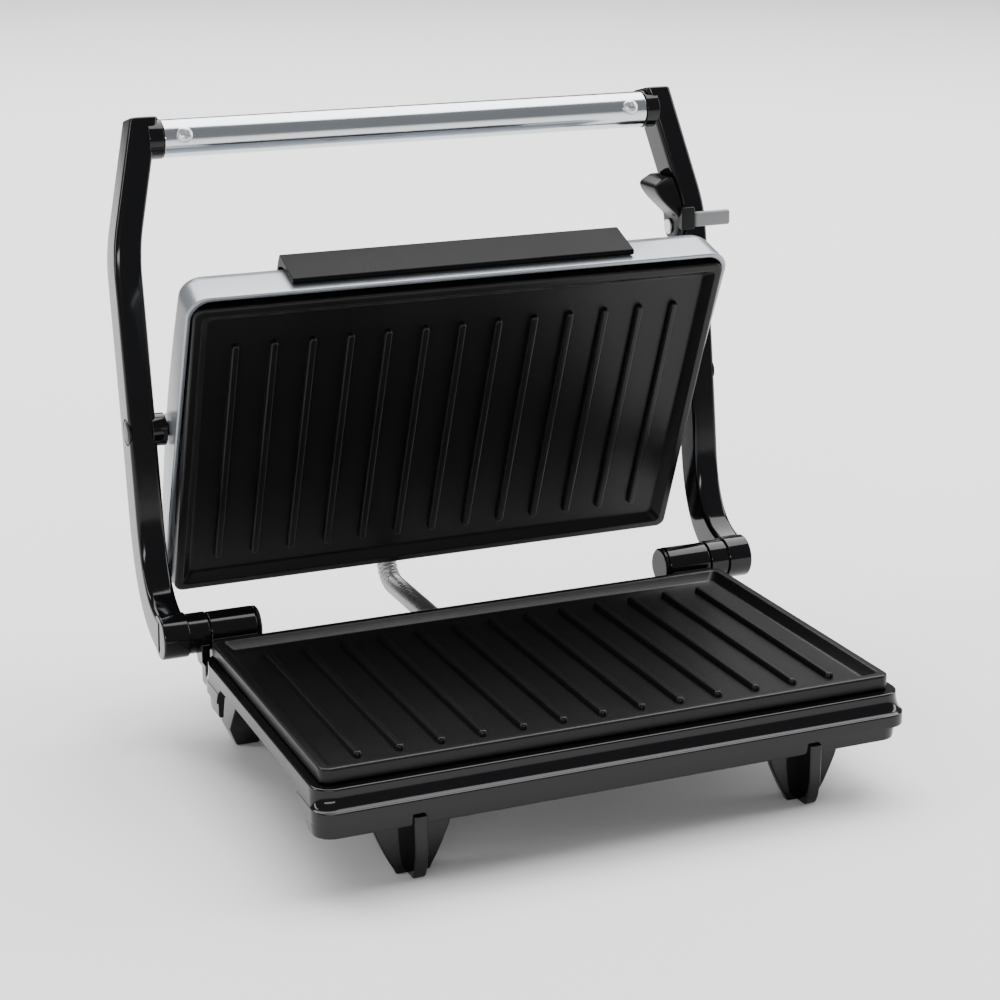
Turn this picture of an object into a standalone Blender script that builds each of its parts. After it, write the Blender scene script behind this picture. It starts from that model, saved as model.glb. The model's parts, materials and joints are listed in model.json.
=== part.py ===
"""Countertop panini press, modelled open.

A shallow base tray carries a ribbed cast grill plate over a tubular heater. Two cranked arms
joined by a tube handle turn on hinge barrels behind the tray, and the heated lid floats between
the arms on two pivot pins. Frame: +X to the right, +Y to the back, +Z up, feet on Z = 0.
"""
import math

import bmesh
import bpy
from mathutils import Matrix, Vector

MM = 0.001

# Fits: every pair of touching pieces keeps one of these two gaps
GAP = 0.3 * MM            # between pieces that rest on or against each other
SLIP = 0.3 * MM           # radial room round every pin, tube and plug

# Grill plates (both castings share these)
PLATE_WIDTH = 230.0 * MM
PLATE_DEPTH = 142.0 * MM
PLATE_RIM_HEIGHT = 5.7 * MM
PLATE_BODY_HEIGHT = 9.0 * MM
PLATE_CORNER = 4.0 * MM
PLATE_RIM_WIDTH = 3.6 * MM
PLATE_WELL = 3.4 * MM
PLATE_SLOPE = 3.2 * MM
PLATE_HEEL = 6.5 * MM
RIB_COUNT = 13
RIB_SIDE_MARGIN = 18.64 * MM          # from the plate edge to the middle of the end rib
RIB_WIDTH = 3.6 * MM
RIB_HEIGHT = 2.2 * MM
LOWER_RIB_MARGINS = (13.0 * MM, 16.0 * MM)      # front, rear
UPPER_RIB_MARGINS = (19.0 * MM, 14.0 * MM)

# Base tray
TRAY_TOP = 41.0 * MM
TRAY_HALF_WIDTH = PLATE_WIDTH / 2 + 3.5 * MM
TRAY_FRONT = -4.3 * MM
TRAY_BACK = PLATE_DEPTH + 4.0 * MM
TRAY_WALL = 2.4 * MM
LEDGE_THICK = 2.0 * MM
LEDGE_REACH = 9.0 * MM
TRAY_FRONT_CORNER = 8.0 * MM
TRAY_BACK_CORNER = 15.0 * MM
BAND_DROP = 7.8 * MM
BAND_SWELL = 3.7 * MM
BAND_LIP = 0.3 * MM
SIDE_SHARE = 0.2                      # how much of the front's swell the sides and back get
FACE_DROP = 4.7 * MM
SKIRT_DROP = 19.4 * MM                # bottom of the skirt below the tray's top edge
ARCH_CROWN = 5.2 * MM                 # depth of side wall left over the arch
ARCH_START = 6.0 * MM
ARCH_END = TRAY_BACK - 24.0 * MM
ARCH_RAMP = 15.0 * MM

# Legs, moulded with the tray
LEG_TOP = TRAY_TOP - 14.8 * MM
LEG_X = TRAY_HALF_WIDTH - 38.5 * MM
LEG_Y = 5.6 * MM
LEG_TOP_WIDTH = 33.0 * MM
LEG_FOOT_WIDTH = 13.0 * MM
LEG_BLADE_START = -5.4 * MM
LEG_BLADE_DEPTH = 19.0 * MM
LEG_WEB = 3.4 * MM
LEG_BLADE = 5.0 * MM

# Bottom cover
COVER_SIDE = PLATE_WIDTH / 2 - PLATE_HEEL - GAP
COVER_FLOOR_Z = TRAY_TOP - 14.5 * MM
COVER_WALL = 2.0 * MM
FLOOR = 2.0 * MM
WELL_INSET = 17.0 * MM
WELL_DROP = 5.6 * MM
CORNER_NOTCH = 22.0 * MM              # room for each rear leg, in from the back of the tray

# Rear legs, outside the cover's corners
REAR_LEG_OUTER = COVER_SIDE + 1.8 * MM
REAR_LEG_INNER = REAR_LEG_OUTER - 14.0 * MM
REAR_LEG_BACK = TRAY_BACK + 4.0 * MM

# Main hinge
HINGE_Y = TRAY_BACK + 7.0 * MM
BARREL_RADIUS = 8.0 * MM
BARREL_OUTER = TRAY_HALF_WIDTH - 5.3 * MM
BARREL_INNER = BARREL_OUTER - 19.7 * MM
HINGE_PIN_RADIUS = 3.0 * MM
PIN_COVER = 2.6 * MM                  # plastic left over the blind end of a hinge pin hole
CAP_THICK = 1.6 * MM
CAP_PLUG_RADIUS = 5.0 * MM
CAP_PLUG = 5.0 * MM
HANDLE_TRAVEL = math.radians(100.0)
STOP_INNER = BARREL_OUTER + 0.4 * MM  # the pads behind the tray that stop the handle open
STOP_FACE = TRAY_BACK - 1.6 * MM

# Handle arms and grip tube
ARM_THICK = 11.5 * MM
ARM_INNER = TRAY_HALF_WIDTH + 3.3 * MM
ARM_OUTER = ARM_INNER + ARM_THICK
ARM_DEPTH = 16.0 * MM
ARM_ROUND = 2.2 * MM
KNUCKLE_RADIUS = 9.2 * MM
COLLAR_RADIUS = 8.3 * MM
ARM_LEAN = 0.246                      # inward run of the arm per unit of height above the bend
ARM_BLEND = 10.0 * MM                 # height over which the bend is rounded, each way
ARM_TOP = (60.5 * MM, 199.5 * MM)     # back from and above the hinge axis
ARM_ELBOW = (49.2 * MM, 148.0 * MM)   # where the arm starts to lean in
ARM_KNEE = (33.5 * MM, 42.0 * MM)     # where the foot curve ends
GRIP_BACK = 57.3 * MM
GRIP_RISE = 192.0 * MM
GRIP_RADIUS = 7.75 * MM
GRIP_WALL = 1.0 * MM
GRIP_HALF = ARM_INNER - 14.3 * MM
GRIP_SOCKET = 16.0 * MM
GRIP_SCREW_X = GRIP_HALF - 8.0 * MM
GRIP_SCREW_TILT = math.radians(15.0)

# Lid
LID_GAP = 0.6 * MM                    # between the two plate rims when shut
LID_OPENING = math.radians(67.66)     # how far the lid has turned up from lying flat
LID_HALF_WIDTH = PLATE_WIDTH / 2 + 2.4 * MM
LID_MARGIN = 4.6 * MM
LID_CORNER = 9.0 * MM
LID_WALL = 1.8 * MM
LID_MOUTH_FRONT = 1.2 * MM
LID_MOUTH_BACK = 9.0 * MM
PIVOT_DEPTH = 20.9 * MM
PIVOT_PIN_RADIUS = 3.0 * MM
PIVOT_BOSS_RADIUS = 6.8 * MM
PIN_REACH = 24.0 * MM                 # pivot pin length under its head
STRIP_HALF = PLATE_WIDTH / 2 - 41.0 * MM
STRIP_THICK = 2.6 * MM
STRIP_FLAP = 8.0 * MM                 # how far the strip reaches over the top of the lid
LID_CROWN = 7.0 * MM                  # how much deeper the lid is half way back
LENS_RADIUS = 4.0 * MM
LENS_X = 14.0 * MM

# Screws
SCREW_RADIUS = 1.6 * MM
POST_RADIUS = 3.6 * MM
POST_X = PLATE_WIDTH / 2 - 58.0 * MM
POST_FRONT = 46.0 * MM                # the front pair, clear of the heater's front run
FITTING_Y = PLATE_DEPTH / 2 - 1.0 * MM
POST_SPREAD = FITTING_Y - POST_FRONT
POST_SPOTS = [(x, y) for x in (-POST_X, POST_X) for y in (FITTING_Y - POST_SPREAD, FITTING_Y + POST_SPREAD)]

# Heaters and their fittings
ELEMENT_RADIUS = 3.3 * MM
SHIELD_THICK = 0.8 * MM
CONDUIT_RADIUS = 4.6 * MM
CONDUIT_X = -10.0 * MM
CONDUIT_BEND = 11.0 * MM              # radius of the turn up to the lid
CONDUIT_BASE_DROP = 13.4 * MM         # below the lower plate rim
CONDUIT_LID_DEPTH = 25.0 * MM
GLAND_X = 42.0 * MM
GLAND_RADIUS = 4.0 * MM

# Latch on the right arm
LATCH_BACK = 47.5 * MM                # back from and above the hinge axis
LATCH_RISE = 141.0 * MM
LATCH_STAND = 0.5 * MM                # past the usual gap, to clear the bend in the arm
LATCH_PIN_RADIUS = 2.0 * MM
LATCH_WEB = 2.8 * MM
TAB_LENGTH = 17.5 * MM
TAB_HEIGHT = 6.6 * MM

ARC = 4                               # segments in a quarter turn of an outline corner
ROUND = 22                            # facets in a full turn

PLATE_TOP = TRAY_TOP + GAP + PLATE_RIM_HEIGHT
HINGE_Z = PLATE_TOP
RIB_PITCH = (PLATE_WIDTH - 2 * RIB_SIDE_MARGIN) / (RIB_COUNT - 1)
GRIP_Y, GRIP_Z = HINGE_Y + GRIP_BACK, HINGE_Z + GRIP_RISE
LATCH_Y, LATCH_Z = HINGE_Y + LATCH_BACK, HINGE_Z + LATCH_RISE
CONDUIT_Z = PLATE_TOP - CONDUIT_BASE_DROP
REAR_FACE = TRAY_BACK + SIDE_SHARE * (BAND_SWELL + BAND_LIP)
SHUT_PIVOT = Vector((0.0, PLATE_DEPTH / 2, PLATE_TOP + LID_GAP + PIVOT_DEPTH))


def turned(point, centre, angle):
    """Return a point turned about an X axis through centre."""
    dy, dz = point[1] - centre[1], point[2] - centre[2]
    c, s = math.cos(angle), math.sin(angle)
    return Vector((point[0], centre[1] + c * dy - s * dz, centre[2] + s * dy + c * dz))


HINGE = Vector((0.0, HINGE_Y, HINGE_Z))
PIVOT = turned(SHUT_PIVOT, HINGE, -HANDLE_TRAVEL)


# ---------------------------------------------------------------- scene helpers

def clear_scene():
    """Remove whatever the start-up scene holds."""
    for obj in list(bpy.data.objects):
        bpy.data.objects.remove(obj, do_unlink=True)


def new_collection(name):
    """Make a collection under the scene."""
    coll = bpy.data.collections.new(name)
    bpy.context.scene.collection.children.link(coll)
    return coll


def finish_of(name, colour, roughness, metallic=0.0):
    """Make a material with its own Principled shader."""
    mat = bpy.data.materials.new(name)
    mat.use_nodes = True
    shader = mat.node_tree.nodes["Principled BSDF"]
    shader.inputs["Base Color"].default_value = (*colour, 1.0)
    shader.inputs["Roughness"].default_value = roughness
    shader.inputs["Metallic"].default_value = metallic
    return mat


clear_scene()
PARTS = new_collection("panini_press")
CUTTERS = new_collection("cutters")
CUTTERS.hide_render = True

GLOSS_BLACK = finish_of("gloss_black_plastic", (0.012, 0.012, 0.013), 0.18)
MATT_BLACK = finish_of("matt_black_plastic", (0.02, 0.02, 0.021), 0.5)
NONSTICK = finish_of("nonstick_coating", (0.018, 0.018, 0.018), 0.42)
SILVER = finish_of("silver_plastic", (0.36, 0.38, 0.40), 0.38, 0.3)
CHROME = finish_of("polished_steel", (0.75, 0.77, 0.80), 0.12, 1.0)
STEEL = finish_of("zinc_steel", (0.55, 0.56, 0.57), 0.35, 1.0)
SHEATH = finish_of("heater_sheath", (0.25, 0.25, 0.24), 0.45, 1.0)
ALUMINISED = finish_of("aluminised_sheet", (0.62, 0.62, 0.62), 0.4, 1.0)
CERAMIC = finish_of("ceramic", (0.78, 0.75, 0.68), 0.6)
GREY_PLASTIC = finish_of("light_grey_plastic", (0.55, 0.56, 0.57), 0.4)
RED_LENS = finish_of("red_lens", (0.55, 0.02, 0.02), 0.15)
GREEN_LENS = finish_of("green_lens", (0.03, 0.4, 0.06), 0.15)
RUBBER = finish_of("black_rubber", (0.02, 0.02, 0.02), 0.7)

ROOT = bpy.data.objects.new("press_origin", None)
PARTS.objects.link(ROOT)


def from_bmesh(name, bm, material, smooth=True):
    """Turn a bmesh into a named object with outward faces."""
    bmesh.ops.recalc_face_normals(bm, faces=bm.faces[:])
    if bm.calc_volume(signed=True) < 0:
        bmesh.ops.reverse_faces(bm, faces=bm.faces[:])
    mesh = bpy.data.meshes.new(name)
    bm.to_mesh(mesh)
    bm.free()
    if smooth:
        mesh.shade_smooth()
        mesh.set_sharp_from_angle(angle=math.radians(32))
    obj = bpy.data.objects.new(name, mesh)
    mesh.materials.append(material)
    PARTS.objects.link(obj)
    obj.parent = ROOT
    return obj


def combine(obj, other, operation):
    """Add or take away another body with an exact Boolean."""
    for coll in list(other.users_collection):
        coll.objects.unlink(other)
    CUTTERS.objects.link(other)
    other.hide_render = True
    other.display_type = "WIRE"
    mod = obj.modifiers.new(f"{operation.lower()}_{other.name}", "BOOLEAN")
    mod.operation = operation
    mod.solver = "EXACT"
    mod.object = other


def loft(bm, rings, closed=False):
    """Skin a row of equal rings; open rows get fan caps at both ends."""
    rows = [[bm.verts.new(p) for p in ring] for ring in rings]
    count = len(rows[0])
    pairs = list(zip(rows, rows[1:]))
    if closed:
        pairs.append((rows[-1], rows[0]))
    for first, second in pairs:
        for i in range(count):
            j = (i + 1) % count
            bm.faces.new((first[i], first[j], second[j], second[i]))
    if not closed:
        for row in (rows[0], rows[-1]):
            hub = bm.verts.new(sum((v.co for v in row), Vector()) / count)
            for i in range(count):
                bm.faces.new((row[i], row[(i + 1) % count], hub))


def outline(half, front, back, front_corner, back_corner, steps=1):
    """Return XY points of a rounded rectangle, each straight side cut into steps."""
    points = []
    corners = (
        (half - front_corner, front + front_corner, front_corner, -90),
        (half - back_corner, back - back_corner, back_corner, 0),
        (-half + back_corner, back - back_corner, back_corner, 90),
        (-half + front_corner, front + front_corner, front_corner, 180),
    )
    for x, y, r, start in corners:
        for k in range(ARC + 1):
            a = math.radians(start + 90 * k / ARC)
            points.append((x + r * math.cos(a), y + r * math.sin(a)))
    full = []
    for i, p in enumerate(points):
        q = points[(i + 1) % len(points)]
        full.append(p)
        if (i + 1) % (ARC + 1) == 0:
            for k in range(1, steps):
                t = k / steps
                full.append((p[0] + (q[0] - p[0]) * t, p[1] + (q[1] - p[1]) * t))
    return full


def box(name, low, high, material=MATT_BLACK, bevel=0.0, segments=2):
    """Make a box between two corners, its edges rounded."""
    bm = bmesh.new()
    bmesh.ops.create_cube(bm, size=1.0)
    low, high = Vector(low), Vector(high)
    for v in bm.verts:
        v.co = Vector((c + 0.5) * (h - l) + l for c, l, h in zip(v.co, low, high))
    if bevel:
        bmesh.ops.bevel(bm, geom=bm.edges[:], offset=bevel, segments=segments, affect="EDGES",
                        profile=0.5)
    return from_bmesh(name, bm, material)


def rod(name, start, end, radius, sides=ROUND):
    """Make a cylinder between two points."""
    start, end = Vector(start), Vector(end)
    axis = end - start
    bm = bmesh.new()
    bmesh.ops.create_cone(bm, cap_ends=True, segments=sides, radius1=radius,
                          radius2=radius, depth=axis.length)
    turn = axis.to_track_quat("Z", "Y").to_matrix().to_4x4()
    turn.translation = (start + end) / 2
    bm.transform(turn)
    return from_bmesh(name, bm, MATT_BLACK)


def turned_body(name, profile, origin, axis, material, sides=ROUND):
    """Turn a (radius, height) outline round an axis through origin."""
    bm = bmesh.new()
    verts = [bm.verts.new((r, 0.0, z)) for r, z in profile]
    edges = [bm.edges.new(pair) for pair in zip(verts, verts[1:])]
    closed = profile[0][0] > 0 and profile[-1][0] > 0
    if closed:
        edges.append(bm.edges.new((verts[-1], verts[0])))
    bmesh.ops.spin(bm, geom=verts + edges, cent=(0, 0, 0), axis=(0, 0, 1),
                   angle=math.tau, steps=sides, use_merge=True)
    bmesh.ops.remove_doubles(bm, verts=bm.verts[:], dist=1e-6)
    turn = Vector(axis).to_track_quat("Z", "Y").to_matrix().to_4x4()
    turn.translation = Vector(origin)
    bm.transform(turn)
    return from_bmesh(name, bm, material)


def side_slab(name, outline_yz, x_low, x_high, material=MATT_BLACK):
    """Extrude a YZ outline along X."""
    bm = bmesh.new()
    face = bm.faces.new([bm.verts.new((x_low, y, z)) for y, z in outline_yz])
    out = bmesh.ops.extrude_face_region(bm, geom=[face])
    moved = [g for g in out["geom"] if isinstance(g, bmesh.types.BMVert)]
    bmesh.ops.translate(bm, verts=moved, vec=(x_high - x_low, 0, 0))
    return from_bmesh(name, bm, material)


def tube_along(name, path, radius, material, facets):
    """Sweep a round rod along a line."""
    rings = []
    side = None
    for i, p in enumerate(path):
        ahead = path[min(i + 1, len(path) - 1)] - path[max(i - 1, 0)]
        ahead.normalize()
        if side is None:
            side = ahead.orthogonal().normalized()
        side = (side - ahead * side.dot(ahead)).normalized()
        up = ahead.cross(side)
        rings.append([p + radius * (math.cos(a) * side + math.sin(a) * up)
                      for a in (math.tau * k / facets for k in range(facets))])
    bm = bmesh.new()
    loft(bm, rings)
    bmesh.ops.triangulate(bm, faces=bm.faces[:])
    return from_bmesh(name, bm, material)


def smooth_path(points, steps):
    """Return points of a Catmull-Rom line."""
    points = [Vector(p) for p in points]
    ends = [points[0] * 2 - points[1]] + points + [points[-1] * 2 - points[-2]]
    path = []
    for a, b, c, d in zip(ends, ends[1:], ends[2:], ends[3:]):
        for k in range(steps):
            t = k / steps
            path.append(0.5 * (2 * b + (c - a) * t + (2 * a - 5 * b + 4 * c - d) * t * t
                               + (3 * b - a - 3 * c + d) * t ** 3))
    path.append(points[-1])
    return path


def hang_on_axis(name, centre, pieces):
    """Parent pieces to an empty that sits on their joint axis, leaving them where they are."""
    axis = bpy.data.objects.new(name, None)
    PARTS.objects.link(axis)
    axis.parent = ROOT
    axis.location = centre
    for obj in sorted(pieces, key=lambda piece: piece.name):
        obj.parent = axis
        obj.matrix_parent_inverse = Matrix.Translation(-Vector(centre))


def side_name(sign):
    """Return left or right for a sign of X."""
    return "right" if sign > 0 else "left"


# ---------------------------------------------------------------- grill plates

def plate_body(name, margins, flip):
    """Make a ribbed plate casting, rim up at Z = 0, or rim down when flipped."""
    z = -1.0 if flip else 1.0

    def ring(inset, height, corner=None):
        r = max(PLATE_CORNER - inset, 2.5 * MM) if corner is None else corner
        return [(x, y, z * height) for x, y in
                outline(PLATE_WIDTH / 2 - inset, inset, PLATE_DEPTH - inset, r, r)]

    bm = bmesh.new()
    loft(bm, [
        ring(PLATE_RIM_WIDTH + PLATE_SLOPE, -PLATE_WELL),
        ring(PLATE_RIM_WIDTH, -0.5 * MM),
        ring(PLATE_RIM_WIDTH - 0.5 * MM, 0.0),
        ring(0.9 * MM, 0.0),
        ring(0.25 * MM, -0.3 * MM),
        ring(0.0, -0.9 * MM),
        ring(0.0, -PLATE_RIM_HEIGHT),
        ring(PLATE_HEEL, -PLATE_RIM_HEIGHT),
        ring(PLATE_HEEL + 0.6 * MM, -PLATE_BODY_HEIGHT),
    ])
    plate = from_bmesh(name, bm, NONSTICK)

    bm = bmesh.new()
    front, back = margins
    for i in range(RIB_COUNT):
        x = (i - (RIB_COUNT - 1) / 2) * RIB_PITCH
        rows = ((0.0, -0.8 * MM), (0.3 * MM, 0.6 * RIB_HEIGHT), (1.1 * MM, RIB_HEIGHT))
        rings = []
        for inset, height in rows:
            r = RIB_WIDTH / 2 - inset
            ring_points = []
            for y, start in ((PLATE_DEPTH - back - RIB_WIDTH / 2, 0), (front + RIB_WIDTH / 2, 180)):
                for k in range(4):
                    a = math.radians(start + 60 * k)
                    ring_points.append((x + r * math.cos(a), y + r * math.sin(a),
                                        z * (height - PLATE_WELL)))
            rings.append(ring_points)
        loft(bm, rings)
    ribs = from_bmesh(f"{name}_ribs", bm, NONSTICK)
    combine(plate, ribs, "UNION")
    return plate


def add_posts(plate, name, length, place):
    """Give a plate four screw posts on its back; place turns plate XY and depth into a point."""
    for k, (x, y) in enumerate(POST_SPOTS):
        post = rod(f"{name}_post_{k}", place(x, y, PLATE_BODY_HEIGHT - 1 * MM), place(x, y, length),
                   POST_RADIUS, sides=16)
        combine(plate, post, "UNION")
        bore = rod(f"{name}_bore_{k}", place(x, y, length - 8 * MM), place(x, y, length + 2 * MM),
                   SCREW_RADIUS + SLIP / 2, sides=16)
        combine(plate, bore, "DIFFERENCE")


def heater_path(height):
    """Return the plan of the double-loop heater tube."""
    x_out, x_in = PLATE_WIDTH / 2 - 27.0 * MM, 26.0 * MM
    near, far = 24.0 * MM, PLATE_DEPTH - 30.0 * MM
    points = [(12 * MM, far + 10 * MM, height), (12.5 * MM, far + 1 * MM, height),
              (x_in, far - 8 * MM, height),
              (x_out - 14 * MM, far, height), (x_out, far - 12 * MM, height),
              (x_out, near + 14 * MM, height), (x_out - 13 * MM, near, height),
              (x_in, near + 4 * MM, height)]
    mirrored = [(-x, y, h) for x, y, h in reversed(points)]
    return points + mirrored


def shield(name, height, flip):
    """Make the sheet pan that keeps the heater's warmth off the plastic."""
    z = -1.0 if flip else 1.0

    def ring(inset, level):
        return [(x, y, z * level) for x, y in
                outline(PLATE_WIDTH / 2 - inset, inset, PLATE_DEPTH - inset, 8 * MM, 8 * MM)]

    bm = bmesh.new()
    t = SHIELD_THICK
    loft(bm, [
        ring(20 * MM, height + t), ring(15 * MM, height + 6 * MM + t), ring(9 * MM, height + 6 * MM + t),
        ring(9 * MM, height + 6 * MM), ring(15.6 * MM, height + 6 * MM), ring(20.6 * MM, height),
    ])
    return from_bmesh(name, bm, ALUMINISED)


# ---------------------------------------------------------------- base

def build_base():
    """Model the tray, its cover and everything fixed in it."""

    def ring(drop, swell, inset=0.0):
        corner = max(TRAY_FRONT_CORNER - inset, 2 * MM)
        rear = max(TRAY_BACK_CORNER - inset, 2 * MM)
        side = SIDE_SHARE * swell
        plan = outline(TRAY_HALF_WIDTH + side - inset, TRAY_FRONT - swell + inset,
                       TRAY_BACK + side - inset, corner, rear)
        return [(x, y, TRAY_TOP - drop) for x, y in plan]

    face_end = BAND_DROP + FACE_DROP
    bm = bmesh.new()
    loft(bm, [
        ring(0.0, 0.0, 0.5 * MM),
        ring(0.5 * MM, 0.0),
        ring(0.35 * BAND_DROP, 0.22 * BAND_SWELL),
        ring(0.7 * BAND_DROP, 0.62 * BAND_SWELL),
        ring(BAND_DROP, BAND_SWELL),
        ring(BAND_DROP + 0.5 * MM, BAND_SWELL + BAND_LIP),
        ring(face_end, BAND_SWELL + BAND_LIP),
        ring(face_end, 0.0),
        ring(SKIRT_DROP, 0.0, 0.6 * MM),
        ring(SKIRT_DROP, 0.0, TRAY_WALL),
        ring(face_end - TRAY_WALL, 0.0, TRAY_WALL),
        ring(BAND_DROP, BAND_SWELL, TRAY_WALL),
        ring(0.7 * BAND_DROP, 0.62 * BAND_SWELL, TRAY_WALL),
        ring(LEDGE_THICK, 0.0, TRAY_WALL),
        ring(LEDGE_THICK, 0.0, LEDGE_REACH),
        ring(0.0, 0.0, LEDGE_REACH),
    ], closed=True)
    tray = from_bmesh("base_housing", bm, GLOSS_BLACK)

    low = TRAY_TOP - SKIRT_DROP - 2 * MM
    arch_top = TRAY_TOP - ARCH_CROWN
    span = TRAY_HALF_WIDTH + 6 * MM
    for sign in (-1, 1):
        inner = sign * (TRAY_HALF_WIDTH - TRAY_WALL - 1.2 * MM)
        x_low, x_high = sorted((inner, sign * span))
        arch = side_slab(f"arch_{side_name(sign)}", [
            (ARCH_START, low), (ARCH_END, low), (ARCH_END - ARCH_RAMP / 2, arch_top),
            (ARCH_START + ARCH_RAMP, arch_top)], x_low, x_high)
        combine(tray, arch, "DIFFERENCE")

        x_low, x_high = sorted((sign * BARREL_INNER, sign * BARREL_OUTER))
        barrel = rod(f"barrel_{side_name(sign)}", (sign * BARREL_INNER, HINGE_Y, HINGE_Z),
                     (sign * BARREL_OUTER, HINGE_Y, HINGE_Z), BARREL_RADIUS)
        neck = side_slab(f"neck_{side_name(sign)}", [
            (TRAY_BACK - 1.2 * MM, TRAY_TOP - face_end), (HINGE_Y + 5 * MM, TRAY_TOP - face_end),
            (HINGE_Y + BARREL_RADIUS - 0.4 * MM, HINGE_Z - 2 * MM), (HINGE_Y, HINGE_Z),
            (TRAY_BACK - 1.2 * MM, HINGE_Z - 1 * MM)], x_low + 0.6 * MM, x_high - 0.6 * MM)
        combine(tray, neck, "UNION")
        combine(tray, barrel, "UNION")
        pad_low, pad_high = sorted((sign * STOP_INNER, sign * (TRAY_HALF_WIDTH - 0.4 * MM)))
        pad = box(f"stop_pad_{side_name(sign)}",
                  (pad_low, TRAY_BACK - 7.5 * MM, TRAY_TOP - face_end + 0.4 * MM),
                  (pad_high, STOP_FACE, TRAY_TOP - 3.2 * MM), bevel=0.4 * MM, segments=1)
        combine(tray, pad, "UNION")
        bore = rod(f"barrel_bore_{side_name(sign)}",
                   (sign * (BARREL_INNER + CAP_PLUG), HINGE_Y, HINGE_Z),
                   (sign * (BARREL_OUTER + 2 * MM), HINGE_Y, HINGE_Z), HINGE_PIN_RADIUS + SLIP)
        combine(tray, bore, "DIFFERENCE")
        socket = rod(f"plug_socket_{side_name(sign)}",
                     (sign * (BARREL_INNER - 2 * MM), HINGE_Y, HINGE_Z),
                     (sign * (BARREL_INNER + CAP_PLUG + 1 * MM), HINGE_Y, HINGE_Z), CAP_PLUG_RADIUS + SLIP)
        combine(tray, socket, "DIFFERENCE")

        rim = BARREL_RADIUS - 0.1 * MM
        turned_body(f"hinge_cap_{side_name(sign)}", [
            (0.0, -CAP_THICK), (rim - 0.7 * MM, -CAP_THICK), (rim, -CAP_THICK + 0.7 * MM), (rim, 0.0),
            (CAP_PLUG_RADIUS, 0.0), (CAP_PLUG_RADIUS, CAP_PLUG - 0.5 * MM), (0.0, CAP_PLUG - 0.5 * MM)],
            (sign * (BARREL_INNER - GAP), HINGE_Y, HINGE_Z), (sign, 0, 0), MATT_BLACK)
        pin_start = BARREL_INNER + CAP_PLUG + 1.5 * MM
        pin_end = ARM_OUTER - PIN_COVER - 2 * GAP
        turned_body(f"hinge_pin_{side_name(sign)}", [
            (0.0, 0.0), (HINGE_PIN_RADIUS - 0.5 * MM, 0.0), (HINGE_PIN_RADIUS, 0.5 * MM),
            (HINGE_PIN_RADIUS, pin_end - pin_start - 0.5 * MM),
            (HINGE_PIN_RADIUS - 0.5 * MM, pin_end - pin_start), (0.0, pin_end - pin_start)],
            (sign * pin_start, HINGE_Y, HINGE_Z), (sign, 0, 0), STEEL)

        add_legs(tray, sign)

    conduit_hole = rod("conduit_hole", (CONDUIT_X, TRAY_BACK - 6 * MM, CONDUIT_Z),
                       (CONDUIT_X, TRAY_BACK + 4 * MM, CONDUIT_Z), CONDUIT_RADIUS + SLIP)
    gland_hole = rod("gland_hole", (GLAND_X, TRAY_BACK - 6 * MM, CONDUIT_Z),
                     (GLAND_X, TRAY_BACK + 4 * MM, CONDUIT_Z), GLAND_RADIUS + SLIP)
    combine(tray, conduit_hole, "DIFFERENCE")
    combine(tray, gland_hole, "DIFFERENCE")

    wall = TRAY_WALL + REAR_FACE - TRAY_BACK
    turned_body("cord_gland", [
        (3.1 * MM, 1.6 * MM), (GLAND_RADIUS + 2.2 * MM, 1.6 * MM), (GLAND_RADIUS + 2.2 * MM, GAP),
        (GLAND_RADIUS, GAP), (GLAND_RADIUS, -wall - GAP), (GLAND_RADIUS + 1.2 * MM, -wall - GAP),
        (GLAND_RADIUS + 1.2 * MM, -wall - 2 * MM), (3.1 * MM, -wall - 2 * MM)],
        (GLAND_X, REAR_FACE, CONDUIT_Z), (0, 1, 0), RUBBER)
    ferrule = CONDUIT_RADIUS + SLIP
    turned_body("conduit_ferrule_base", [
        (ferrule, 4.5 * MM), (ferrule + 1.2 * MM, 4.5 * MM), (ferrule + 3.0 * MM, 2.0 * MM),
        (ferrule + 3.0 * MM, GAP), (ferrule, GAP)],
        (CONDUIT_X, REAR_FACE, CONDUIT_Z), (0, 1, 0), STEEL)

    build_bottom()

    plate = plate_body("lower_grill_plate", LOWER_RIB_MARGINS, flip=False)
    lift = Vector((0, 0, PLATE_TOP))
    plate.data.transform(Matrix.Translation(lift))
    CUTTERS.objects["lower_grill_plate_ribs"].data.transform(Matrix.Translation(lift))
    well_floor = COVER_FLOOR_Z - WELL_DROP + FLOOR
    add_posts(plate, "lower", PLATE_TOP - well_floor - GAP, lambda x, y, d: (x, y, PLATE_TOP - d))
    level = PLATE_TOP - PLATE_BODY_HEIGHT - GAP - ELEMENT_RADIUS
    tube_along("lower_heater", smooth_path(heater_path(level), 3), ELEMENT_RADIUS, SHEATH, 8)
    shield_depth = PLATE_BODY_HEIGHT + 2 * GAP + 2 * ELEMENT_RADIUS + SHIELD_THICK
    pan = shield("lower_shield", -shield_depth, flip=False)
    pan.data.transform(Matrix.Translation(lift))
    for k, (x, y) in enumerate(POST_SPOTS):
        hole = rod(f"lower_shield_hole_{k}", (x, y, PLATE_TOP - shield_depth - 2 * MM),
                   (x, y, PLATE_TOP - shield_depth + 4 * MM), POST_RADIUS + 2 * SLIP, sides=16)
        combine(pan, hole, "DIFFERENCE")
    under = PLATE_TOP - PLATE_BODY_HEIGHT - GAP
    thermostat("lower_thermostat", (0, FITTING_Y, under), (0, 0, -1))
    fuse("lower_thermal_fuse", (0, FITTING_Y - 22 * MM, under - 2.6 * MM))


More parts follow.
